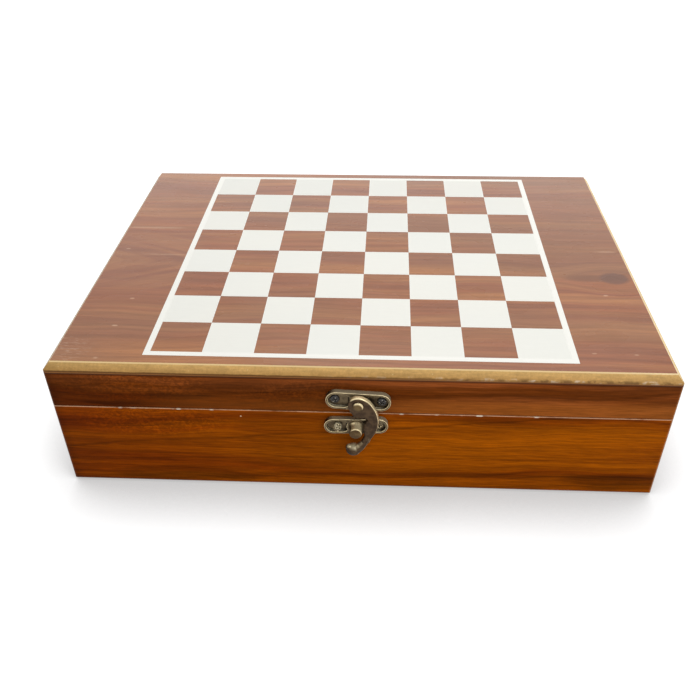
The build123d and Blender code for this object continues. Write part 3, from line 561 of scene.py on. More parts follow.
def print_finish():
    """White ink under lacquer: slightly grey squares with denser ink at their edges."""
    f = Finish("board_white")
    from_lines = []
    for value in (f.x, f.y):
        squares = f.over(value, square_size)
        off_line = f.reach(f.minus(squares, f.maths("ROUND", squares)))
        from_lines.append(f.times(off_line, square_size))
    furthest = f.most(f.reach(f.x), f.reach(f.y))
    dense = f.most(
        f.fade(f.least(*from_lines), 0.55 * MM, 0.25 * MM),
        f.fade(furthest, print_high.x - 3.2 * MM, print_high.x - 2.9 * MM),
    )
    cloud = f.noise(f.scaled(9, 12, 0), detail=2)
    color = f.mix(f.fade(cloud, 0.38, 0.62), rgb(233, 233, 225), rgb(235, 234, 225))
    weave = f.noise(f.scaled(120, 900, 0), detail=3, roughness=0.7)
    color = f.shade(color, f.spread(weave, 0.965, 1.03))
    # Painted shade: the print is darker towards the back of the lid.
    color = f.vary(color, f.y, (-0.01, 0.09), (1.0, 0.93))
    color = f.mix(dense, color, rgb(242, 241, 233))
    normal = f.bump(weave, 0.03 * MM, 0.4)
    return f.surface(color, 0.42, normal, Coat_Weight=0.25, Coat_Roughness=0.3)


def fibreboard_finish():
    """The lid panel's bare bevel: golden lacquered fibreboard, stained dark along its foot."""
    f = Finish("raw_mdf")
    low = panel_low.z
    grit = f.noise(f.scaled(800, 800, 800), detail=3, roughness=0.75)
    scratch = f.noise(f.scaled(110, 110, 1500), detail=3, roughness=0.65)
    smear = f.noise(f.scaled(45, 45, 260), detail=3, roughness=0.6)
    rise = f.fade(f.z, low + 1.0 * MM, panel_high.z)
    color = f.mix(rise, rgb(192, 146, 82), rgb(220, 176, 108))
    facing_x = f.facing()[0]
    to_side = f.fade(f.reach(facing_x), 0.35, 0.60)
    # Painted light: the sides facing right are painted a bright cream, as if lit, and the sides
    # facing left a paler tan.
    color = f.mix(f.times(to_side, f.fade(facing_x, 0.0, 0.1)), color, rgb(246, 214, 150))
    color = f.mix(f.times(to_side, f.fade(facing_x, 0.0, -0.1)), color, rgb(208, 180, 134))
    color = f.vary(color, grit, (0.28, 0.72), (0.86, 1.10))
    color = f.vary(color, scratch, (0.3, 0.7), (0.88, 1.06))
    color = f.vary(color, smear, (0.35, 0.62), (0.90, 1.04))
    color = f.vary(color, f.x, (-0.07, -0.145), (1.0, 0.80))
    from_speck, number = f.cells(f.scaled(420, 420, 420))
    speck = f.times(f.fade(from_speck, 0.16, 0.06), f.fade(number, 0.60, 0.70))
    color = f.mix(f.times(speck, 0.45), color, rgb(244, 220, 160))
    # The foot of the bevel has taken up stain, and to the right it is rubbed in pale patches.
    to_right = f.fade(f.x, -0.04, 0.10)
    uneven = f.noise(f.scaled(130, 130, 400), detail=3, roughness=0.7)
    height = f.plus(f.z, f.times(f.centred(uneven), 0.5 * MM))
    blotch = f.noise(f.scaled(150, 150, 300), detail=3, roughness=0.65)
    foot = f.times(f.fade(height, low + 2.3 * MM, low + 1.5 * MM), to_right)
    foot = f.times(foot, f.spread(to_side, 1.0, 0.35))
    color = f.mix(f.times(f.fade(blotch, 0.50, 0.40), foot, 0.65), color, rgb(104, 74, 38))
    color = f.mix(f.times(f.fade(blotch, 0.52, 0.62), foot, 0.75), color, rgb(226, 204, 176))
    stain = f.fade(height, low + 1.65 * MM, low + 1.3 * MM)
    stain = f.times(stain, f.spread(to_right, 0.85, 0.35))
    color = f.mix(stain, color, rgb(84, 46, 14))
    land = f.fade(height, low + 1.0 * MM, low + 0.9 * MM)
    land_color = f.mix(to_right, rgb(150, 98, 48), rgb(138, 90, 50))
    color = f.mix(f.times(land, 0.9), color, land_color)
    rail_line = f.fade(f.z, low + 0.55 * MM, low + 0.45 * MM)
    color = f.mix(f.times(rail_line, 0.92), color, rgb(72, 32, 10))
    return f.surface(color, 0.55, f.bump(grit, 0.06 * MM, 0.6), Specular_IOR_Level=0.15)


def plain_wood_finish(name, along):
    """Thin unstained board."""
    f = Finish(name)
    length, depth = (f.x, f.y) if along == "X" else (f.y, f.x)
    wander = f.noise(f.grid((length, 8), (depth, 20), (f.z, 20)), detail=2)
    ring = f.plus(f.plus(f.z, f.times(depth, 0.6)), f.times(wander, 0.02))
    broad = f.noise(f.grid((length, 5), (ring, 130)), detail=4)
    fibres = f.noise(f.grid((length, 60), (f.z, 1800), (depth, 1800)), detail=3)
    color = f.ramp(
        f.fade(broad, 0.30, 0.70),
        (0.0, rgb(176, 134, 86)),
        (0.6, rgb(204, 164, 112)),
        (1.0, rgb(216, 180, 130)),
    )
    color = f.shade(color, f.spread(fibres, 0.86, 1.10))
    return f.surface(color, 0.55, f.bump(fibres, 0.05 * MM, 0.5), Specular_IOR_Level=0.3)


def turned_wood_finish(name, dark, light, shine):
    """Small turned or sawn pieces, their grain upright."""
    f = Finish(name)
    wander = f.noise(f.scaled(120, 120, 30), detail=2)
    broad = f.noise(f.scaled(420, 420, 40), detail=3, distortion=0.6)
    fibres = f.noise(f.scaled(3000, 3000, 220), detail=3, roughness=0.7)
    color = f.mix(f.fade(broad, 0.32, 0.68), dark, light)
    color = f.shade(color, f.spread(fibres, 0.84, 1.12))
    color = f.shade(color, f.spread(wander, 0.92, 1.08))
    return f.surface(
        color,
        f.spread(wander, shine, shine + 0.12),
        f.bump(fibres, 0.03 * MM, 0.4),
        Coat_Weight=0.4,
        Coat_Roughness=0.18,
    )


# ---- Cloth, metal, plastic and card --------------------------------------------------------------
def felt_finish():
    f = Finish("green_felt")
    fuzz = f.noise(f.scaled(2600, 2600, 2600), detail=3, roughness=0.8)
    clumps = f.noise(f.scaled(240, 240, 240), detail=3, roughness=0.6)
    color = f.mix(f.fade(clumps, 0.30, 0.70), rgb(20, 70, 43), rgb(27, 85, 52))
    color = f.shade(color, f.spread(fuzz, 0.65, 1.30))
    return f.surface(
        color,
        0.95,
        f.bump(f.plus(fuzz, f.times(clumps, 0.6)), 0.25 * MM, 0.9),
        Sheen_Weight=0.35,
        Sheen_Roughness=0.5,
        Specular_IOR_Level=0.15,
    )


def hinge_brass_finish():
    f = Finish("hinge_brass")
    cloud = f.noise(f.scaled(300, 300, 300), detail=3)
    brushed = f.noise(f.scaled(160, 3000, 3000), detail=2)
    color = f.mix(f.fade(cloud, 0.35, 0.70), rgb(206, 172, 104), rgb(176, 138, 76))
    shine = f.spread(f.plus(f.times(cloud, 0.6), f.times(brushed, 0.4)), 0.16, 0.42)
    return f.surface(color, shine, f.bump(brushed, 0.02 * MM, 0.3), Metallic=1.0)


def antique_brass_finish(name, light, dark, worn, highlight_above=None):
    """Cast antique brass: dark in its hollows, brown on its faces, rubbed bright on its edges,
    with a painted lit grey on the sides that face up and right.

    Edges that are as sharp as worn says are bright. Where a height is given, a painted
    highlight lies on the sides that face up or right above that height, and on the sides
    that face right below it.
    """
    f = Finish(name)
    shape = f.node("NewGeometry").outputs["Pointiness"]
    grain = f.noise(f.scaled(1500, 1500, 1500), detail=3, roughness=0.7)
    cloud = f.noise(f.scaled(330, 330, 330), detail=3, roughness=0.6)
    drift = f.centred(cloud)
    bright = f.fade(f.plus(shape, f.times(drift, 0.035)), *worn)
    hollow = f.fade(f.plus(shape, f.times(drift, 0.02)), 0.497, 0.470)
    facing_x, facing_y, facing_z = f.facing()
    up_right = f.plus(f.times(facing_z, 0.85), f.times(facing_x, 0.5))
    painted_lit_top = f.fade(up_right, 0.35, 0.90)
    color = f.mix(f.fade(cloud, 0.35, 0.65), light, dark)
    color = f.shade(color, f.spread(grain, 0.72, 1.24))
    color = f.mix(hollow, color, rgb(20, 15, 10))
    # Painted light: the sides that face up and right turn a lit grey and less metallic.
    grey = f.shade(rgb(176, 166, 138), f.spread(grain, 0.80, 1.15))
    color = f.mix(f.times(painted_lit_top, 0.75), color, grey)
    # Painted highlight: a bright band on the sides that face up or right above the given height, and
    # on the sides that face right; it shares the worn edges' bright brass.
    if highlight_above is not None:
        facing_front = f.reach(facing_y)
        rim = f.times(
            f.fade(facing_front, 0.97, 0.84),
            f.fade(up_right, -0.05, 0.45),
            f.fade(f.z, highlight_above, highlight_above + 6 * MM),
        )
        right_side_highlight = f.times(f.fade(facing_x, 0.40, 0.80), f.fade(facing_front, 0.90, 0.60))
        rim = f.most(rim, f.times(right_side_highlight, 0.8))
        bright = f.most(bright, f.times(rim, f.spread(f.fade(cloud, 0.3, 0.6), 0.7, 1.0)))
    color = f.mix(bright, color, rgb(236, 216, 170))
    metal = f.plus(0.9, f.times(painted_lit_top, -0.5))
    normal = f.bump(grain, 0.06 * MM, 0.45)
    return f.surface(color, f.spread(bright, 0.46, 0.28), normal, Metallic=metal)


def screw_finish():
    """Blued screws, rubbed grey on their high spots."""
    f = Finish("dark_screw_steel")
    shape = f.node("NewGeometry").outputs["Pointiness"]
    grain = f.noise(f.scaled(1500, 1500, 1500), detail=3, roughness=0.7)
    worn = f.fade(shape, 0.52, 0.60)
    color = f.mix(worn, rgb(62, 60, 60), rgb(172, 166, 150))
    color = f.mix(f.fade(shape, 0.48, 0.42), color, rgb(18, 16, 15))
    color = f.shade(color, f.spread(grain, 0.8, 1.2))
    return f.surface(color, f.spread(worn, 0.42, 0.25), f.bump(grain, 0.04 * MM, 0.4), Metallic=0.9)


def plastic_finish(name, color, cloud_color):
    f = Finish(name)
    cloud = f.noise(f.scaled(60, 60, 60), detail=2)
    wear = f.noise(f.scaled(900, 900, 900), detail=3)
    return f.surface(
        f.mix(f.fade(cloud, 0.3, 0.7), color, cloud_color),
        f.spread(wear, 0.18, 0.32),
        f.bump(wear, 0.01 * MM, 0.3),
        Subsurface_Weight=0.08,
        Subsurface_Scale=1.2 * MM,
    )


LATTICE_PITCH = 3.4 * MM
CARD_THICKNESS = 0.32 * MM


def card_finish(name, node, ink):
    """A pack of cards: a lattice back with a white margin, and the cards' edges round the side."""
    f = Finish(name)
    low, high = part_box(node)
    centre = (low + high) / 2
    half = (high - low) / 2
    across = f.minus(f.x, centre.x)
    along = f.minus(f.y, centre.y)
    inset = f.least(f.minus(half.x, f.reach(across)), f.minus(half.y, f.reach(along)))
    stripes = [
        f.reach(f.maths("SINE", f.times(diagonal, pi / LATTICE_PITCH)))
        for diagonal in (f.plus(across, along), f.minus(across, along))
    ]
    from_stripe = f.least(*stripes)
    lattice = f.most(f.fade(from_stripe, 0.20, 0.12), f.fade(from_stripe, 0.93, 0.97))
    field = f.mix(f.times(lattice, 0.85), ink, rgb(238, 232, 222))
    frame_line = f.times(f.fade(inset, 5.6 * MM, 5.4 * MM), f.fade(inset, 4.9 * MM, 5.1 * MM))
    field = f.mix(frame_line, field, rgb(240, 236, 228))
    card = f.mix(f.fade(inset, 4.0 * MM, 3.8 * MM), field, rgb(240, 237, 230))
    layers = f.maths("FRACT", f.over(f.z, CARD_THICKNESS))
    side = f.mix(f.fade(layers, 0.75, 0.95), rgb(232, 228, 218), rgb(150, 142, 130))
    on_top = f.fade(f.z, high.z - 0.12 * MM, high.z - 0.06 * MM)
    return f.surface(f.mix(on_top, side, card), 0.34, Coat_Weight=0.2, Coat_Roughness=0.2)


def ink_finish(name, color):
    f = Finish(name)
    wear = f.noise(f.scaled(1400, 1400, 1400), detail=3)
    return f.surface(f.mix(f.times(wear, 0.35), color, rgb(70, 66, 60)), 0.35)


# ---- Dressing the CAD nodes ----------------------------------------------------------------------
def dress(material, *names):
    """Give each named node one material."""
    for name in names:
        slots = nodes[name].data.materials
        slots.clear()
        slots.append(material)


GRAIN_ALONG = {"front": "X", "back": "X", "left": "Y", "right": "Y"}
for side, along in GRAIN_ALONG.items():
    dress(base_rail_finish(f"base_{side}_wood", along, BASE_FIGURES[side]), f"base_{side}_rail")
for side, along in GRAIN_ALONG.items():
    dress(lid_rail_finish(f"lid_{side}_wood", along, LID_FIGURES[side]), f"lid_{side}_rail")
dress(veneer_finish(), "lid_veneer")
dress(print_finish(), "board_print")
dress(fibreboard_finish(), "lid_panel")
plain_crosswise = plain_wood_finish("plain_wood_along_x", "X")
dress(plain_crosswise, "base_bottom_panel", "chess_divider", "front_card_divider")
dress(plain_crosswise, "back_card_divider", "draughts_divider")
dress(plain_wood_finish("plain_wood_along_y", "Y"), "left_divider", "right_divider")
dress(felt_finish(), "well_felt", "lid_felt")
hinge_brass = hinge_brass_finish()
for side in ("left", "right"):
    dress(hinge_brass, f"{side}_hinge_base_leaf", f"{side}_hinge_lid_leaf", f"{side}_hinge_pin")
dress(hinge_brass, "hinge_base_screws", "hinge_lid_screws")
antique_brass = antique_brass_finish(
    "antique_brass", rgb(104, 90, 68), rgb(74, 62, 46), (0.512, 0.545)
)
toe_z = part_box("clasp_hook")[0].z
hook_brass = antique_brass_finish(
    "hook_antique_brass", rgb(82, 64, 46), rgb(58, 44, 32), (0.72, 0.82), toe_z + 5 * MM
)
turned_brass = antique_brass_finish(
    "turned_antique_brass", rgb(104, 84, 54), rgb(78, 60, 38), (0.570, 0.66), 0.0
)
dark_screw_steel = screw_finish()
black_ink = ink_finish("black_ink", rgb(24, 22, 22))
dress(antique_brass, "clasp_lid_plate", "clasp_catch_plate", "clasp_lid_screws")
dress(antique_brass, "clasp_catch_screws", "clasp_hook", "clasp_rivet", "clasp_catch_stud")
light_wood = turned_wood_finish("light_wood", rgb(196, 152, 92), rgb(222, 184, 124), 0.28)
dark_wood = turned_wood_finish("dark_wood", rgb(48, 26, 18), rgb(78, 42, 28), 0.24)
for man in ("pawns", "rooks", "knights", "bishops", "queen", "king", "draughts"):
    dress(light_wood, f"light_{man}")
    dress(dark_wood, f"dark_{man}")
dress(plastic_finish("ivory_plastic", rgb(238, 230, 208), rgb(230, 220, 194)), "dominoes")
dress(plastic_finish("white_plastic", rgb(240, 238, 232), rgb(234, 231, 222)), "dice")
dress(card_finish("red_card", "red_card_deck", rgb(150, 24, 28)), "red_card_deck")
dress(card_finish("blue_card", "blue_card_deck", rgb(28, 48, 118)), "blue_card_deck")


# ---- Modelling by hand ---------------------------------------------------------------------------
def select_only(*pieces):
    """Leave object mode's selection holding these pieces alone, the last of them active."""
    bpy.ops.object.select_all(action="DESELECT")
    for piece in pieces:
        piece.select_set(True)
    bpy.context.view_layer.objects.active = pieces[-1]


def settle(piece):
    """Put a piece's place into its mesh, so that its object sits at the origin."""
    select_only(piece)
    bpy.ops.object.transform_apply(location=True, rotation=True, scale=True)
    return piece


def finish_modifier(piece, kind, **settings):
    """Add a modifier and apply it."""
    select_only(piece)
    modifier = piece.modifiers.new(kind.lower(), kind)
    for name, value in settings.items():
        setattr(modifier, name, value)
    bpy.ops.object.modifier_apply(modifier=modifier.name)


def cut_away(piece, *cutters):
    for cutter in cutters:
        finish_modifier(piece, "BOOLEAN", object=cutter, operation="DIFFERENCE", solver="EXACT")
        bpy.data.objects.remove(cutter)


def join_pieces(name, *pieces):
    """Join pieces into the last of them."""
    select_only(*pieces)
    bpy.ops.object.join()
    joined = bpy.context.object
    joined.name = name
    return joined


def cast_skin(piece, voxel, passes):
    """Melt a piece's solids into one skin and soften its edges, as a casting's are."""
    finish_modifier(piece, "REMESH", mode="VOXEL", voxel_size=voxel)
    finish_modifier(piece, "SMOOTH", factor=0.5, iterations=passes)
    select_only(piece)
    bpy.ops.object.shade_smooth()


def on_front(x, offset, z):
    """A place on the front of the case: across, out from its face and up."""
    return Vector((x, front_y - offset, z))


def select_vertices(piece, wanted):
    """In edit mode, select the vertices whose place passes a test."""
    bpy.ops.mesh.select_all(action="DESELECT")
    bpy.ops.object.mode_set(mode="OBJECT")
    for vertex in piece.data.vertices:
        vertex.select = wanted(vertex.co)
    bpy.ops.object.mode_set(mode="EDIT")


def add_post(radius, near, far, x, z, sides=48):
    """A round post that stands out of the front face, from one offset to another."""
    bpy.ops.mesh.primitive_cylinder_add(
        vertices=sides,
        radius=radius,
        depth=far - near,
        location=on_front(x, (near + far) / 2, z),
        rotation=(pi / 2, pi / sides, 0),
    )
    return settle(bpy.context.object)


def add_bar(length, height, near, far, x, z, tilt, sides=64):
    """A bar with round ends on the front face: a post whose halves are drawn apart."""
    bar = add_post(height / 2, near, far, 0, 0, sides)
    select_only(bar)
    bpy.ops.object.mode_set(mode="EDIT")
    bpy.ops.mesh.select_mode(type="VERT")
    for side in (-1, 1):
        select_vertices(bar, lambda place, side=side: place.x * side > 0)
        bpy.ops.transform.translate(value=(side * (length - height) / 2, 0, 0))
    bpy.ops.object.mode_set(mode="OBJECT")
    bar.rotation_euler = (0, -tilt, 0)
    bar.location = (x, 0, z)
    return settle(bar)


def turn_profile(name, profile, steps=40):
    """Spin a profile of (radius, height) points round Z. It starts and ends on the axis."""
    bpy.ops.object.select_all(action="DESELECT")
    bpy.ops.mesh.primitive_plane_add(size=1)
    turned = bpy.context.object
    turned.name = name
    bpy.ops.object.mode_set(mode="EDIT")
    bpy.ops.mesh.select_mode(type="VERT")
    bpy.ops.mesh.merge(type="CENTER")
    bpy.ops.transform.translate(value=(profile[0][0], 0, profile[0][1]))
    for start, end in zip(profile, profile[1:]):
        move = (end[0] - start[0], 0, end[1] - start[1])
        bpy.ops.mesh.extrude_region_move(TRANSFORM_OT_translate={"value": move})
    bpy.ops.mesh.select_all(action="SELECT")
    bpy.ops.mesh.spin(steps=steps, angle=2 * pi, center=(0, 0, 0), axis=(0, 0, 1))
    bpy.ops.mesh.select_all(action="SELECT")
    bpy.ops.mesh.remove_doubles(threshold=0.005 * MM)
    bpy.ops.mesh.normals_make_consistent(inside=False)
    bpy.ops.object.mode_set(mode="OBJECT")
    return turned


def stand_out(piece, x, offset, z, roll=0.0, lean=(0.0, 0.0)):
    """Turn a piece that was made along Z to point out of the front face, at its place there."""
    spin = Matrix.Rotation(pi / 2, 4, "X") @ Matrix.Rotation(roll, 4, "Z")
    tip = Matrix.Rotation(lean[0], 4, "X") @ Matrix.Rotation(lean[1], 4, "Z")
    piece.matrix_world = Matrix.Translation(on_front(x, offset, z)) @ tip @ spin
    return settle(piece)


# ---- The clasp -----------------------------------------------------------------------------------
def middle_of(node):
    low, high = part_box(node)
    return (low + high) / 2


PLATE_LENGTH = 30.0 * MM
PLATE_FLOOR = 1.2 * MM
PLATE_RIM = 2.8 * MM
RIM_WIDTH = 1.1 * MM
BOSS_RADIUS = 4.4 * MM
BOSS_HEIGHT = 3.0 * MM
POCKET_LENGTH = 10.6 * MM
SCREW_REACH = 10.8 * MM
SCREW_HEAD = 2.3 * MM
SCREW_STAND = 0.45 * MM
SHANK_RADIUS = 1.6 * MM
lid_plate = middle_of("clasp_lid_plate")
catch_plate = middle_of("clasp_catch_plate")
pivot = middle_of("clasp_rivet")
stud_place = middle_of("clasp_catch_stud")
LID_TILT, CATCH_TILT = radians(-3.0), radians(1.5)
hook_back, hook_face = 3.2 * MM, 6.0 * MM


def along_plate(plate, tilt, reach):
    """A place along a plate's middle line, as (x, z)."""
    return plate.x + reach * cos(tilt), plate.z + reach * sin(tilt)


def cast_plate(name, plate, height, tilt, boss):
    """A plate with a raised rim, a pocket at each end and a round boss between them."""
    body = add_bar(PLATE_LENGTH, height, 0.0, PLATE_RIM, plate.x, plate.z, tilt)
    for side in (-1, 1):
        reach = side * (PLATE_LENGTH / 2 - RIM_WIDTH - POCKET_LENGTH / 2)
        x, z = along_plate(plate, tilt, reach)
        pocket_height = height - 2 * RIM_WIDTH
        pocket = add_bar(POCKET_LENGTH, pocket_height, PLATE_FLOOR, 2 * PLATE_RIM, x, z, tilt)
        cut_away(body, pocket)
    collar = add_post(BOSS_RADIUS, 0.0, BOSS_HEIGHT, boss.x, boss.z)
    piece = join_pieces(name, collar, body)
    cast_skin(piece, 0.17 * MM, 5)
    return piece


def cross_screw(name, place, roll, lean, stand):
    """A domed screw with a cross recess, its point in the wood."""
    head, shank = SCREW_HEAD, 1.1 * MM
    profile = [
        (0.0, -5.4 * MM), (0.5 * MM, -4.6 * MM), (shank, -3.0 * MM), (shank, -0.9 * MM),
        (head - 0.25 * MM, -0.2 * MM), (head, 0.05 * MM), (head, 0.30 * MM),
        (0.86 * head, 0.72 * MM), (0.55 * head, 0.98 * MM), (0.0, 1.08 * MM),
    ]
    screw = turn_profile(name, profile)
    for turn in (0.0, pi / 2):
        bpy.ops.mesh.primitive_cube_add(size=1, location=(0, 0, 0.9 * MM), rotation=(0, 0, turn))
        slot = bpy.context.object
        slot.scale = (2.7 * MM, 0.62 * MM, 1.3 * MM)
        cut_away(screw, settle(slot))
    cast_skin(screw, 0.14 * MM, 2)
    x, z = place
    return stand_out(screw, x, PLATE_FLOOR + stand, z, roll, lean)


def clasp_screws(name, plate, tilt, rolls, stands, lean=(0.0, 0.0), slip=0.0):
    """The two screws of a plate. The left one may lean, and its head then slips to the right."""
    left = along_plate(plate, tilt, slip - SCREW_REACH)
    right = along_plate(plate, tilt, SCREW_REACH)
    pair = (
        cross_screw(name, left, rolls[0], lean, stands[0]),
        cross_screw(name, right, rolls[1], (0.0, 0.0), stands[1]),
    )
    return join_pieces(name, *pair)


# The hook's outline from its pivot, in millimetres: across and up, clockwise from its top.
HOOK_OUTLINE = (
    (0.0, 4.6), (4.3, 2.9), (7.4, -1.2), (9.2, -6.0), (9.5, -11.0), (8.3, -15.8), (6.1, -20.2),
    (4.4, -23.2), (2.4, -22.2), (2.9, -19.0), (2.7, -15.6), (2.4, -12.6), (3.6, -10.0), (4.2, -8.2),
    (2.8, -7.3), (0.4, -7.2), (-1.7, -6.5), (-3.2, -4.4), (-4.4, -1.9), (-4.4, 1.5), (-2.9, 3.7),
)
# The toe's middle line from the pivot, and its radius there: (across, up, radius).
TOE_LINE = (
    (5.0, -17.4, 1.4), (4.3, -20.0, 1.72), (3.0, -22.9, 1.8), (1.3, -25.4, 2.0), (-0.8, -27.2, 2.5),
)
TOE_STEPS = 8
# The knob at the toe's end and the nub beside it: across, up, out from the middle, and radii.
TOE_KNOBS = (
    (-2.3, -27.6, 0.0, (3.6, 3.05, 3.1)),
    (-4.3, -26.0, 0.3, (1.7, 1.7, 1.6)),
)
HOOK_EDGE = 0.80 * MM
HOOK_BORE = 1.72 * MM


def from_pivot(across, up, offset):
    return on_front(pivot.x + across * MM, offset, pivot.z + up * MM)


def hook_blade():
    """The hook's flat part: its outline as a closed curve, thickened with a rounded edge."""
    curve = bpy.data.curves.new("hook_outline", "CURVE")
    curve.dimensions = "2D"
    curve.fill_mode = "BOTH"
    line = curve.splines.new("BEZIER")
    line.bezier_points.add(len(HOOK_OUTLINE) - 1)
    for point, (across, up) in zip(line.bezier_points, HOOK_OUTLINE):
        point.co = (across * MM, up * MM, 0)
        point.handle_left_type = "AUTO"
        point.handle_right_type = "AUTO"
    line.use_cyclic_u = True
    line.resolution_u = 6
    curve.extrude = (hook_face - hook_back) / 2 - HOOK_EDGE
    curve.bevel_depth = HOOK_EDGE
    curve.bevel_resolution = 2
    curve.offset = -HOOK_EDGE
    blade = bpy.data.objects.new("hook_blade", curve)
    bpy.context.scene.collection.objects.link(blade)
    blade.rotation_euler = (pi / 2, 0, 0)
    blade.location = on_front(pivot.x, (hook_back + hook_face) / 2, pivot.z)
    select_only(blade)
    bpy.ops.object.convert(target="MESH")
    settle(blade)
    select_only(blade)
    bpy.ops.object.mode_set(mode="EDIT")
    bpy.ops.mesh.select_all(action="SELECT")
    bpy.ops.mesh.remove_doubles(threshold=0.002 * MM)
    bpy.ops.mesh.normals_make_consistent(inside=False)
    bpy.ops.object.mode_set(mode="OBJECT")
    return blade


def add_ball(place, radii):
    bpy.ops.mesh.primitive_uv_sphere_add(segments=32, ring_count=20, radius=1, location=place)
    ball = bpy.context.object
    ball.scale = radii
    return settle(ball)


def hook_toe():
    """The hook's round toe, as a chain of balls along its line that the casting's skin joins."""
    middle = (hook_back + hook_face) / 2
    balls = []
    for start, end in zip(TOE_LINE, TOE_LINE[1:]):
        for step in range(TOE_STEPS):
            share = step / TOE_STEPS
            across, up, radius = [a + (b - a) * share for a, b in zip(start, end)]
            balls.append(add_ball(from_pivot(across, up, middle), (radius * MM,) * 3))
    for across, up, out, radii in TOE_KNOBS:
        place = from_pivot(across, up, middle + out * MM)
        balls.append(add_ball(place, [radius * MM for radius in radii]))
    return balls


def swing_hook():
    """The whole hook: blade, toe and knob in one casting, bored for its rivet."""
    piece = join_pieces("swing_hook", *hook_toe(), hook_blade())
    cast_skin(piece, 0.15 * MM, 4)
    bore = add_post(HOOK_BORE, 0.0, 2 * hook_face, pivot.x, pivot.z)
    cut_away(piece, bore)
    return piece


def hook_rivet():
    """The rivet that the hook swings on: a shank with a low dome over the hook."""
    neck, radius = hook_face + 0.15 * MM, 2.5 * MM
    dome = neck + 0.3 * MM
    profile = [
        (0.0, 0.0), (SHANK_RADIUS, 0.0), (SHANK_RADIUS, neck), (2.45 * MM, neck), (radius, dome),
    ]
    for step in range(1, 9):
        angle = step * pi / 16
        profile.append((radius * cos(angle), dome + 0.95 * MM * sin(angle)))
    rivet = turn_profile("hook_rivet", profile)
    select_only(rivet)
    bpy.ops.object.shade_smooth_by_angle(angle=radians(40))
    return stand_out(rivet, pivot.x, 0.0, pivot.z)


def catch_stud():
    """The stud that the hook closes on, with a flat face and a softened edge."""
    far, radius = 8.1 * MM, 2.95 * MM
    profile = [
        (0.0, 0.0), (SHANK_RADIUS, 0.0), (SHANK_RADIUS, BOSS_HEIGHT),
        (radius + 0.35 * MM, BOSS_HEIGHT), (radius + 0.35 * MM, BOSS_HEIGHT + 0.35 * MM),
        (radius - 0.05 * MM, BOSS_HEIGHT + 0.7 * MM),
        (radius - 0.12 * MM, far - 1.6 * MM), (radius, far - 1.2 * MM), (radius, far - 0.45 * MM),
        (radius - 0.14 * MM, far - 0.14 * MM), (radius - 0.45 * MM, far), (0.0, far),
    ]
    stud = turn_profile("catch_stud", profile)
    select_only(stud)
    bpy.ops.object.shade_smooth_by_angle(angle=radians(50))
    return stand_out(stud, stud_place.x, 0.0, stud_place.z)


def fit(piece, body, slot, material, *replaced):
    """Hang a finished piece on its body, in place of CAD nodes, with its material."""
    piece.data.materials.clear()
    piece.data.materials.append(material)
    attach(piece, body)
    if replaced:
        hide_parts(*replaced)


def make_clasp():
    plates = (
        ("lid_clasp_casting", lid_plate, 9.6 * MM, LID_TILT, pivot, "lid", "clasp_lid_plate"),
        ("catch_casting", catch_plate, 8.8 * MM, CATCH_TILT, stud_place, "base", "clasp_catch_plate"),
    )
    for name, plate, height, tilt, boss, body, node in plates:
        fit(cast_plate(name, plate, height, tilt, boss), body, "antique_brass", antique_brass, node)
    lid_screws = clasp_screws(
        "lid_clasp_cross_screws", lid_plate, LID_TILT, (radians(20), radians(52)),
        (SCREW_STAND - 0.5 * MM, SCREW_STAND - 0.35 * MM),
    )
    fit(lid_screws, "lid", "antique_brass", dark_screw_steel, "clasp_lid_screws")
    catch_screws = clasp_screws(
        "catch_cross_screws", catch_plate, CATCH_TILT, (radians(35), radians(10)),
        (SCREW_STAND + 1.1 * MM, SCREW_STAND - 0.4 * MM), (radians(-46), radians(24)), 2.2 * MM,
    )
    fit(catch_screws, "base", "antique_brass", antique_brass, "clasp_catch_screws")
    fit(swing_hook(), "hook", "antique_brass", hook_brass, "clasp_hook")
    fit(hook_rivet(), "lid", "antique_brass", turned_brass, "clasp_rivet")
    fit(catch_stud(), "base", "antique_brass", turned_brass, "clasp_catch_stud")


# ---- Spots on the dominoes and dice --------------------------------------------------------------
SPOTS = {
    0: (), 1: ((0, 0),), 2: ((-1, -1), (1, 1)), 3: ((-1, -1), (0, 0), (1, 1)),
    4: ((-1, -1), (-1, 1), (1, -1), (1, 1)), 5: ((-1, -1), (-1, 1), (0, 0), (1, -1), (1, 1)),
    6: ((-1, -1), (-1, 0), (-1, 1), (1, -1), (1, 0), (1, 1)),
}


def spot(template, place, normal):
    """Copy the spot to a place on a face, its flat side towards the normal."""
    copy = template.copy()
    copy.data = template.data.copy()
    bpy.context.scene.collection.objects.link(copy)
    turn = normal.to_track_quat("Z", "Y").to_matrix().to_4x4()
    copy.matrix_world = Matrix.Translation(place) @ turn
    return settle(copy)


def spot_template(radius, height):
    """A shallow domed dot."""
    profile = [
        (0.0, -height), (radius, -height), (radius, 0.4 * height), (0.8 * radius, 0.85 * height),
        (0.0, height),
    ]
    dot = turn_profile("spot", profile, steps=18)
    select_only(dot)
    bpy.ops.object.shade_smooth_by_angle(angle=radians(50))
    return dot


# The spots on the two halves of each stack's top tile.
DOMINO_FACES = ((6, 4), (5, 2), (3, 3), (1, 6), (4, 0), (2, 5), (6, 6))
STACK_PITCH = (41.0 * MM, 21.0 * MM)
HALF_TILE = 10.0 * MM
DOMINO_SPOT_GAPS = (4.6 * MM, 5.2 * MM)
RULE_SIZE = (0.7 * MM, 15.5 * MM, 0.16 * MM)


def domino_places(low, high):
    """The middles of the stacks, as the dominoes' box gives them: two abreast, four deep."""
    middle = (low + high) / 2
    for index in range(len(DOMINO_FACES)):
        column, row = index % 2, index // 2
        x = middle.x + (column - 0.5) * STACK_PITCH[0]
        yield Vector((x, middle.y + (1.5 - row) * STACK_PITCH[1], high.z))


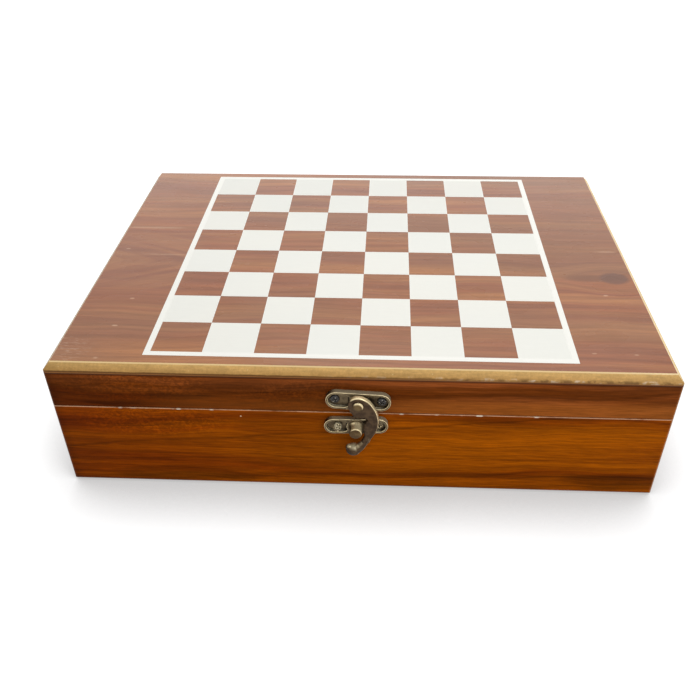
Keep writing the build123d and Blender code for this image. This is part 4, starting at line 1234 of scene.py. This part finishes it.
def mark_dominoes():
    """Sunk black spots and a brass rule on each top tile."""
    low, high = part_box("dominoes")
    template = spot_template(1.35 * MM, 0.07 * MM)
    spots, rules = [], []
    for faces, place in zip(DOMINO_FACES, domino_places(low, high)):
        for side, count in zip((-1, 1), faces):
            for across, along in SPOTS[count]:
                shift_x = side * HALF_TILE + across * DOMINO_SPOT_GAPS[0]
                shift = Vector((shift_x, along * DOMINO_SPOT_GAPS[1], 0))
                spots.append(spot(template, place + shift, Vector((0, 0, 1))))
        bpy.ops.mesh.primitive_cube_add(size=1, location=place)
        rule = bpy.context.object
        rule.scale = RULE_SIZE
        settle(rule)
        finish_modifier(rule, "BEVEL", width=0.05 * MM, segments=2)
        rules.append(rule)
    bpy.data.objects.remove(template)
    fit(join_pieces("domino_spots", *spots), "base", "dark_wood", black_ink)
    fit(join_pieces("domino_rules", *rules), "base", "hinge_brass", hinge_brass)


# Each die: its place across and along in millimetres, its turn in degrees, and its top face.
DICE = (
    (-46.8, 6.0, 18, 6), (-28.4, -9.0, -35, 3), (-10.0, 4.0, 52, 5), (8.4, -7.0, 8, 2),
    (26.8, 8.0, -20, 4),
)
DIE_HALF = 6.5 * MM
DIE_SPOT_GAP = 3.3 * MM
DIE_SIDES = ((0, 0, 1), (0, 0, -1), (1, 0, 0), (-1, 0, 0), (0, 1, 0), (0, -1, 0))


def mark_dice():
    """Black spots on every face of the five dice. Opposite faces add up to seven."""
    top_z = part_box("dice")[1].z
    template = spot_template(1.2 * MM, 0.06 * MM)
    spots = []
    for x, y, turn, top in DICE:
        centre = Vector((x * MM, y * MM, top_z - DIE_HALF))
        others = [count for count in (1, 2, 3) if count not in (top, 7 - top)]
        counts = (top, 7 - top, others[0], 7 - others[0], others[1], 7 - others[1])
        rotation = Matrix.Rotation(radians(turn), 3, "Z")
        for count, direction in zip(counts, DIE_SIDES):
            normal = rotation @ Vector(direction)
            side = rotation @ Vector((direction[1], direction[2], direction[0]))
            other = normal.cross(side)
            for across, along in SPOTS[count]:
                on_side = (side * across + other * along) * DIE_SPOT_GAP
                spots.append(spot(template, centre + normal * DIE_HALF + on_side, normal))
    bpy.data.objects.remove(template)
    fit(join_pieces("dice_spots", *spots), "base", "dark_wood", black_ink)


make_clasp()
mark_dominoes()
mark_dice()


# ---- Floor, light and camera ---------------------------------------------------------------------
ROOM_LIGHT = 0.58
FLOOR_SIZE = 12
FLOOR_TONE, FLOOR_TONE_SEEN = 0.80, 0.30
FLOOR_GLOW_NEAR, FLOOR_GLOW_FAR = 0.42, 0.93
FLOOR_SHADE_REACH = 0.054


def seen_rays(graph):
    """1 for rays from the camera, from mirrors and through glass, 0 for the rest."""
    path = graph.node("LightPath")
    rays = path.outputs["Is Camera Ray"]
    for kind in ("Is Glossy Ray", "Is Transmission Ray"):
        rays = graph.most(rays, path.outputs[kind])
    return rays


def floor_finish():
    """Matt white, with a glow that only seen rays meet. The glow fades close to the object,
    a painted shadow round it.
    """
    material = bpy.data.materials.new("floor_white")
    material.use_nodes = True
    material.node_tree.nodes.clear()
    graph = Graph(material.node_tree)
    seen = seen_rays(graph)
    matt = graph.node("BsdfDiffuse")
    tones = [(tone, tone, tone, 1) for tone in (FLOOR_TONE, FLOOR_TONE_SEEN)]
    graph.feed(matt.inputs["Color"], graph.mix(seen, *tones))
    # Painted shadow: the glow is dimmed close to the object, darkening the floor round it.
    nearby = graph.node("AmbientOcclusion", samples=12)
    nearby.inputs["Distance"].default_value = FLOOR_SHADE_REACH
    outside_painted_shadow = graph.fade(nearby.outputs["AO"], 0.45, 1.0)
    strength = graph.spread(outside_painted_shadow, FLOOR_GLOW_NEAR, FLOOR_GLOW_FAR)
    glow = graph.node("Emission")
    graph.feed(glow.inputs["Strength"], graph.times(strength, seen))
    both = graph.node("AddShader")
    for socket, shader in zip(both.inputs, (matt, glow)):
        graph.feed(socket, shader.outputs[0])
    graph.feed(graph.node("OutputMaterial").inputs["Surface"], both.outputs[0])
    return material


def make_floor():
    """A plain white floor that keeps the object's shadow and is otherwise seen as white."""
    bpy.ops.object.select_all(action="DESELECT")
    bpy.ops.mesh.primitive_plane_add(size=FLOOR_SIZE, location=(0, 0, 0))
    floor = bpy.context.object
    floor.name = "floor"
    floor.data.materials.append(floor_finish())


def make_world():
    """An even white room that is seen at strength 1 and lights the object with less."""
    world = bpy.data.worlds.new("room")
    bpy.context.scene.world = world
    world.use_nodes = True
    background = world.node_tree.nodes["Background"]
    background.inputs["Color"].default_value = (1, 1, 1, 1)
    graph = Graph(world.node_tree)
    graph.feed(background.inputs["Strength"], graph.spread(seen_rays(graph), ROOM_LIGHT, 1.0))


def make_lamp(name, place, size, power, height=None):
    """A lamp, square unless its height is given, turned to the middle of the case."""
    bpy.ops.object.select_all(action="DESELECT")
    bpy.ops.object.light_add(type="AREA", location=place)
    lamp = bpy.context.object
    lamp.name = name
    lamp.data.energy = power
    lamp.data.shape = "RECTANGLE"
    lamp.data.size = size
    lamp.data.size_y = height or size
    lamp.visible_camera = False
    to_case = Vector((0, 0, rim_z)) - Vector(place)
    lamp.rotation_euler = to_case.to_track_quat("-Z", "Y").to_euler()


CAMERA_PLACE = Vector((0.01153, -0.37917, 0.28494))
CAMERA_PAN = radians(3.138)
CAMERA_TILT = radians(90 - 36.350)
CAMERA_ROLL = radians(-0.728)
CAMERA_LENS = 39.46


def make_camera():
    """In front of the clasp, looking down at the lid."""
    data = bpy.data.cameras.new("camera")
    data.sensor_width = 36
    data.lens = CAMERA_LENS
    data.clip_start = 0.01
    camera = bpy.data.objects.new("camera", data)
    bpy.context.scene.collection.objects.link(camera)
    turn = Matrix.Rotation(CAMERA_PAN, 4, "Z") @ Matrix.Rotation(CAMERA_TILT, 4, "X")
    turn = turn @ Matrix.Rotation(CAMERA_ROLL, 4, "Z")
    camera.matrix_world = Matrix.Translation(CAMERA_PLACE) @ turn
    bpy.context.scene.camera = camera


make_floor()
make_world()
make_lamp("key_lamp", (0.65, -0.72, 1.0), 0.5, 4.4)
make_lamp("back_lamp", (0.10, 0.62, 1.12), 0.8, 4.6)
make_lamp("low_lamp", (0.0, 1.25, 0.42), 1.8, 1.9, 0.45)
make_camera()
bpy.context.scene.view_settings.view_transform = "Standard"
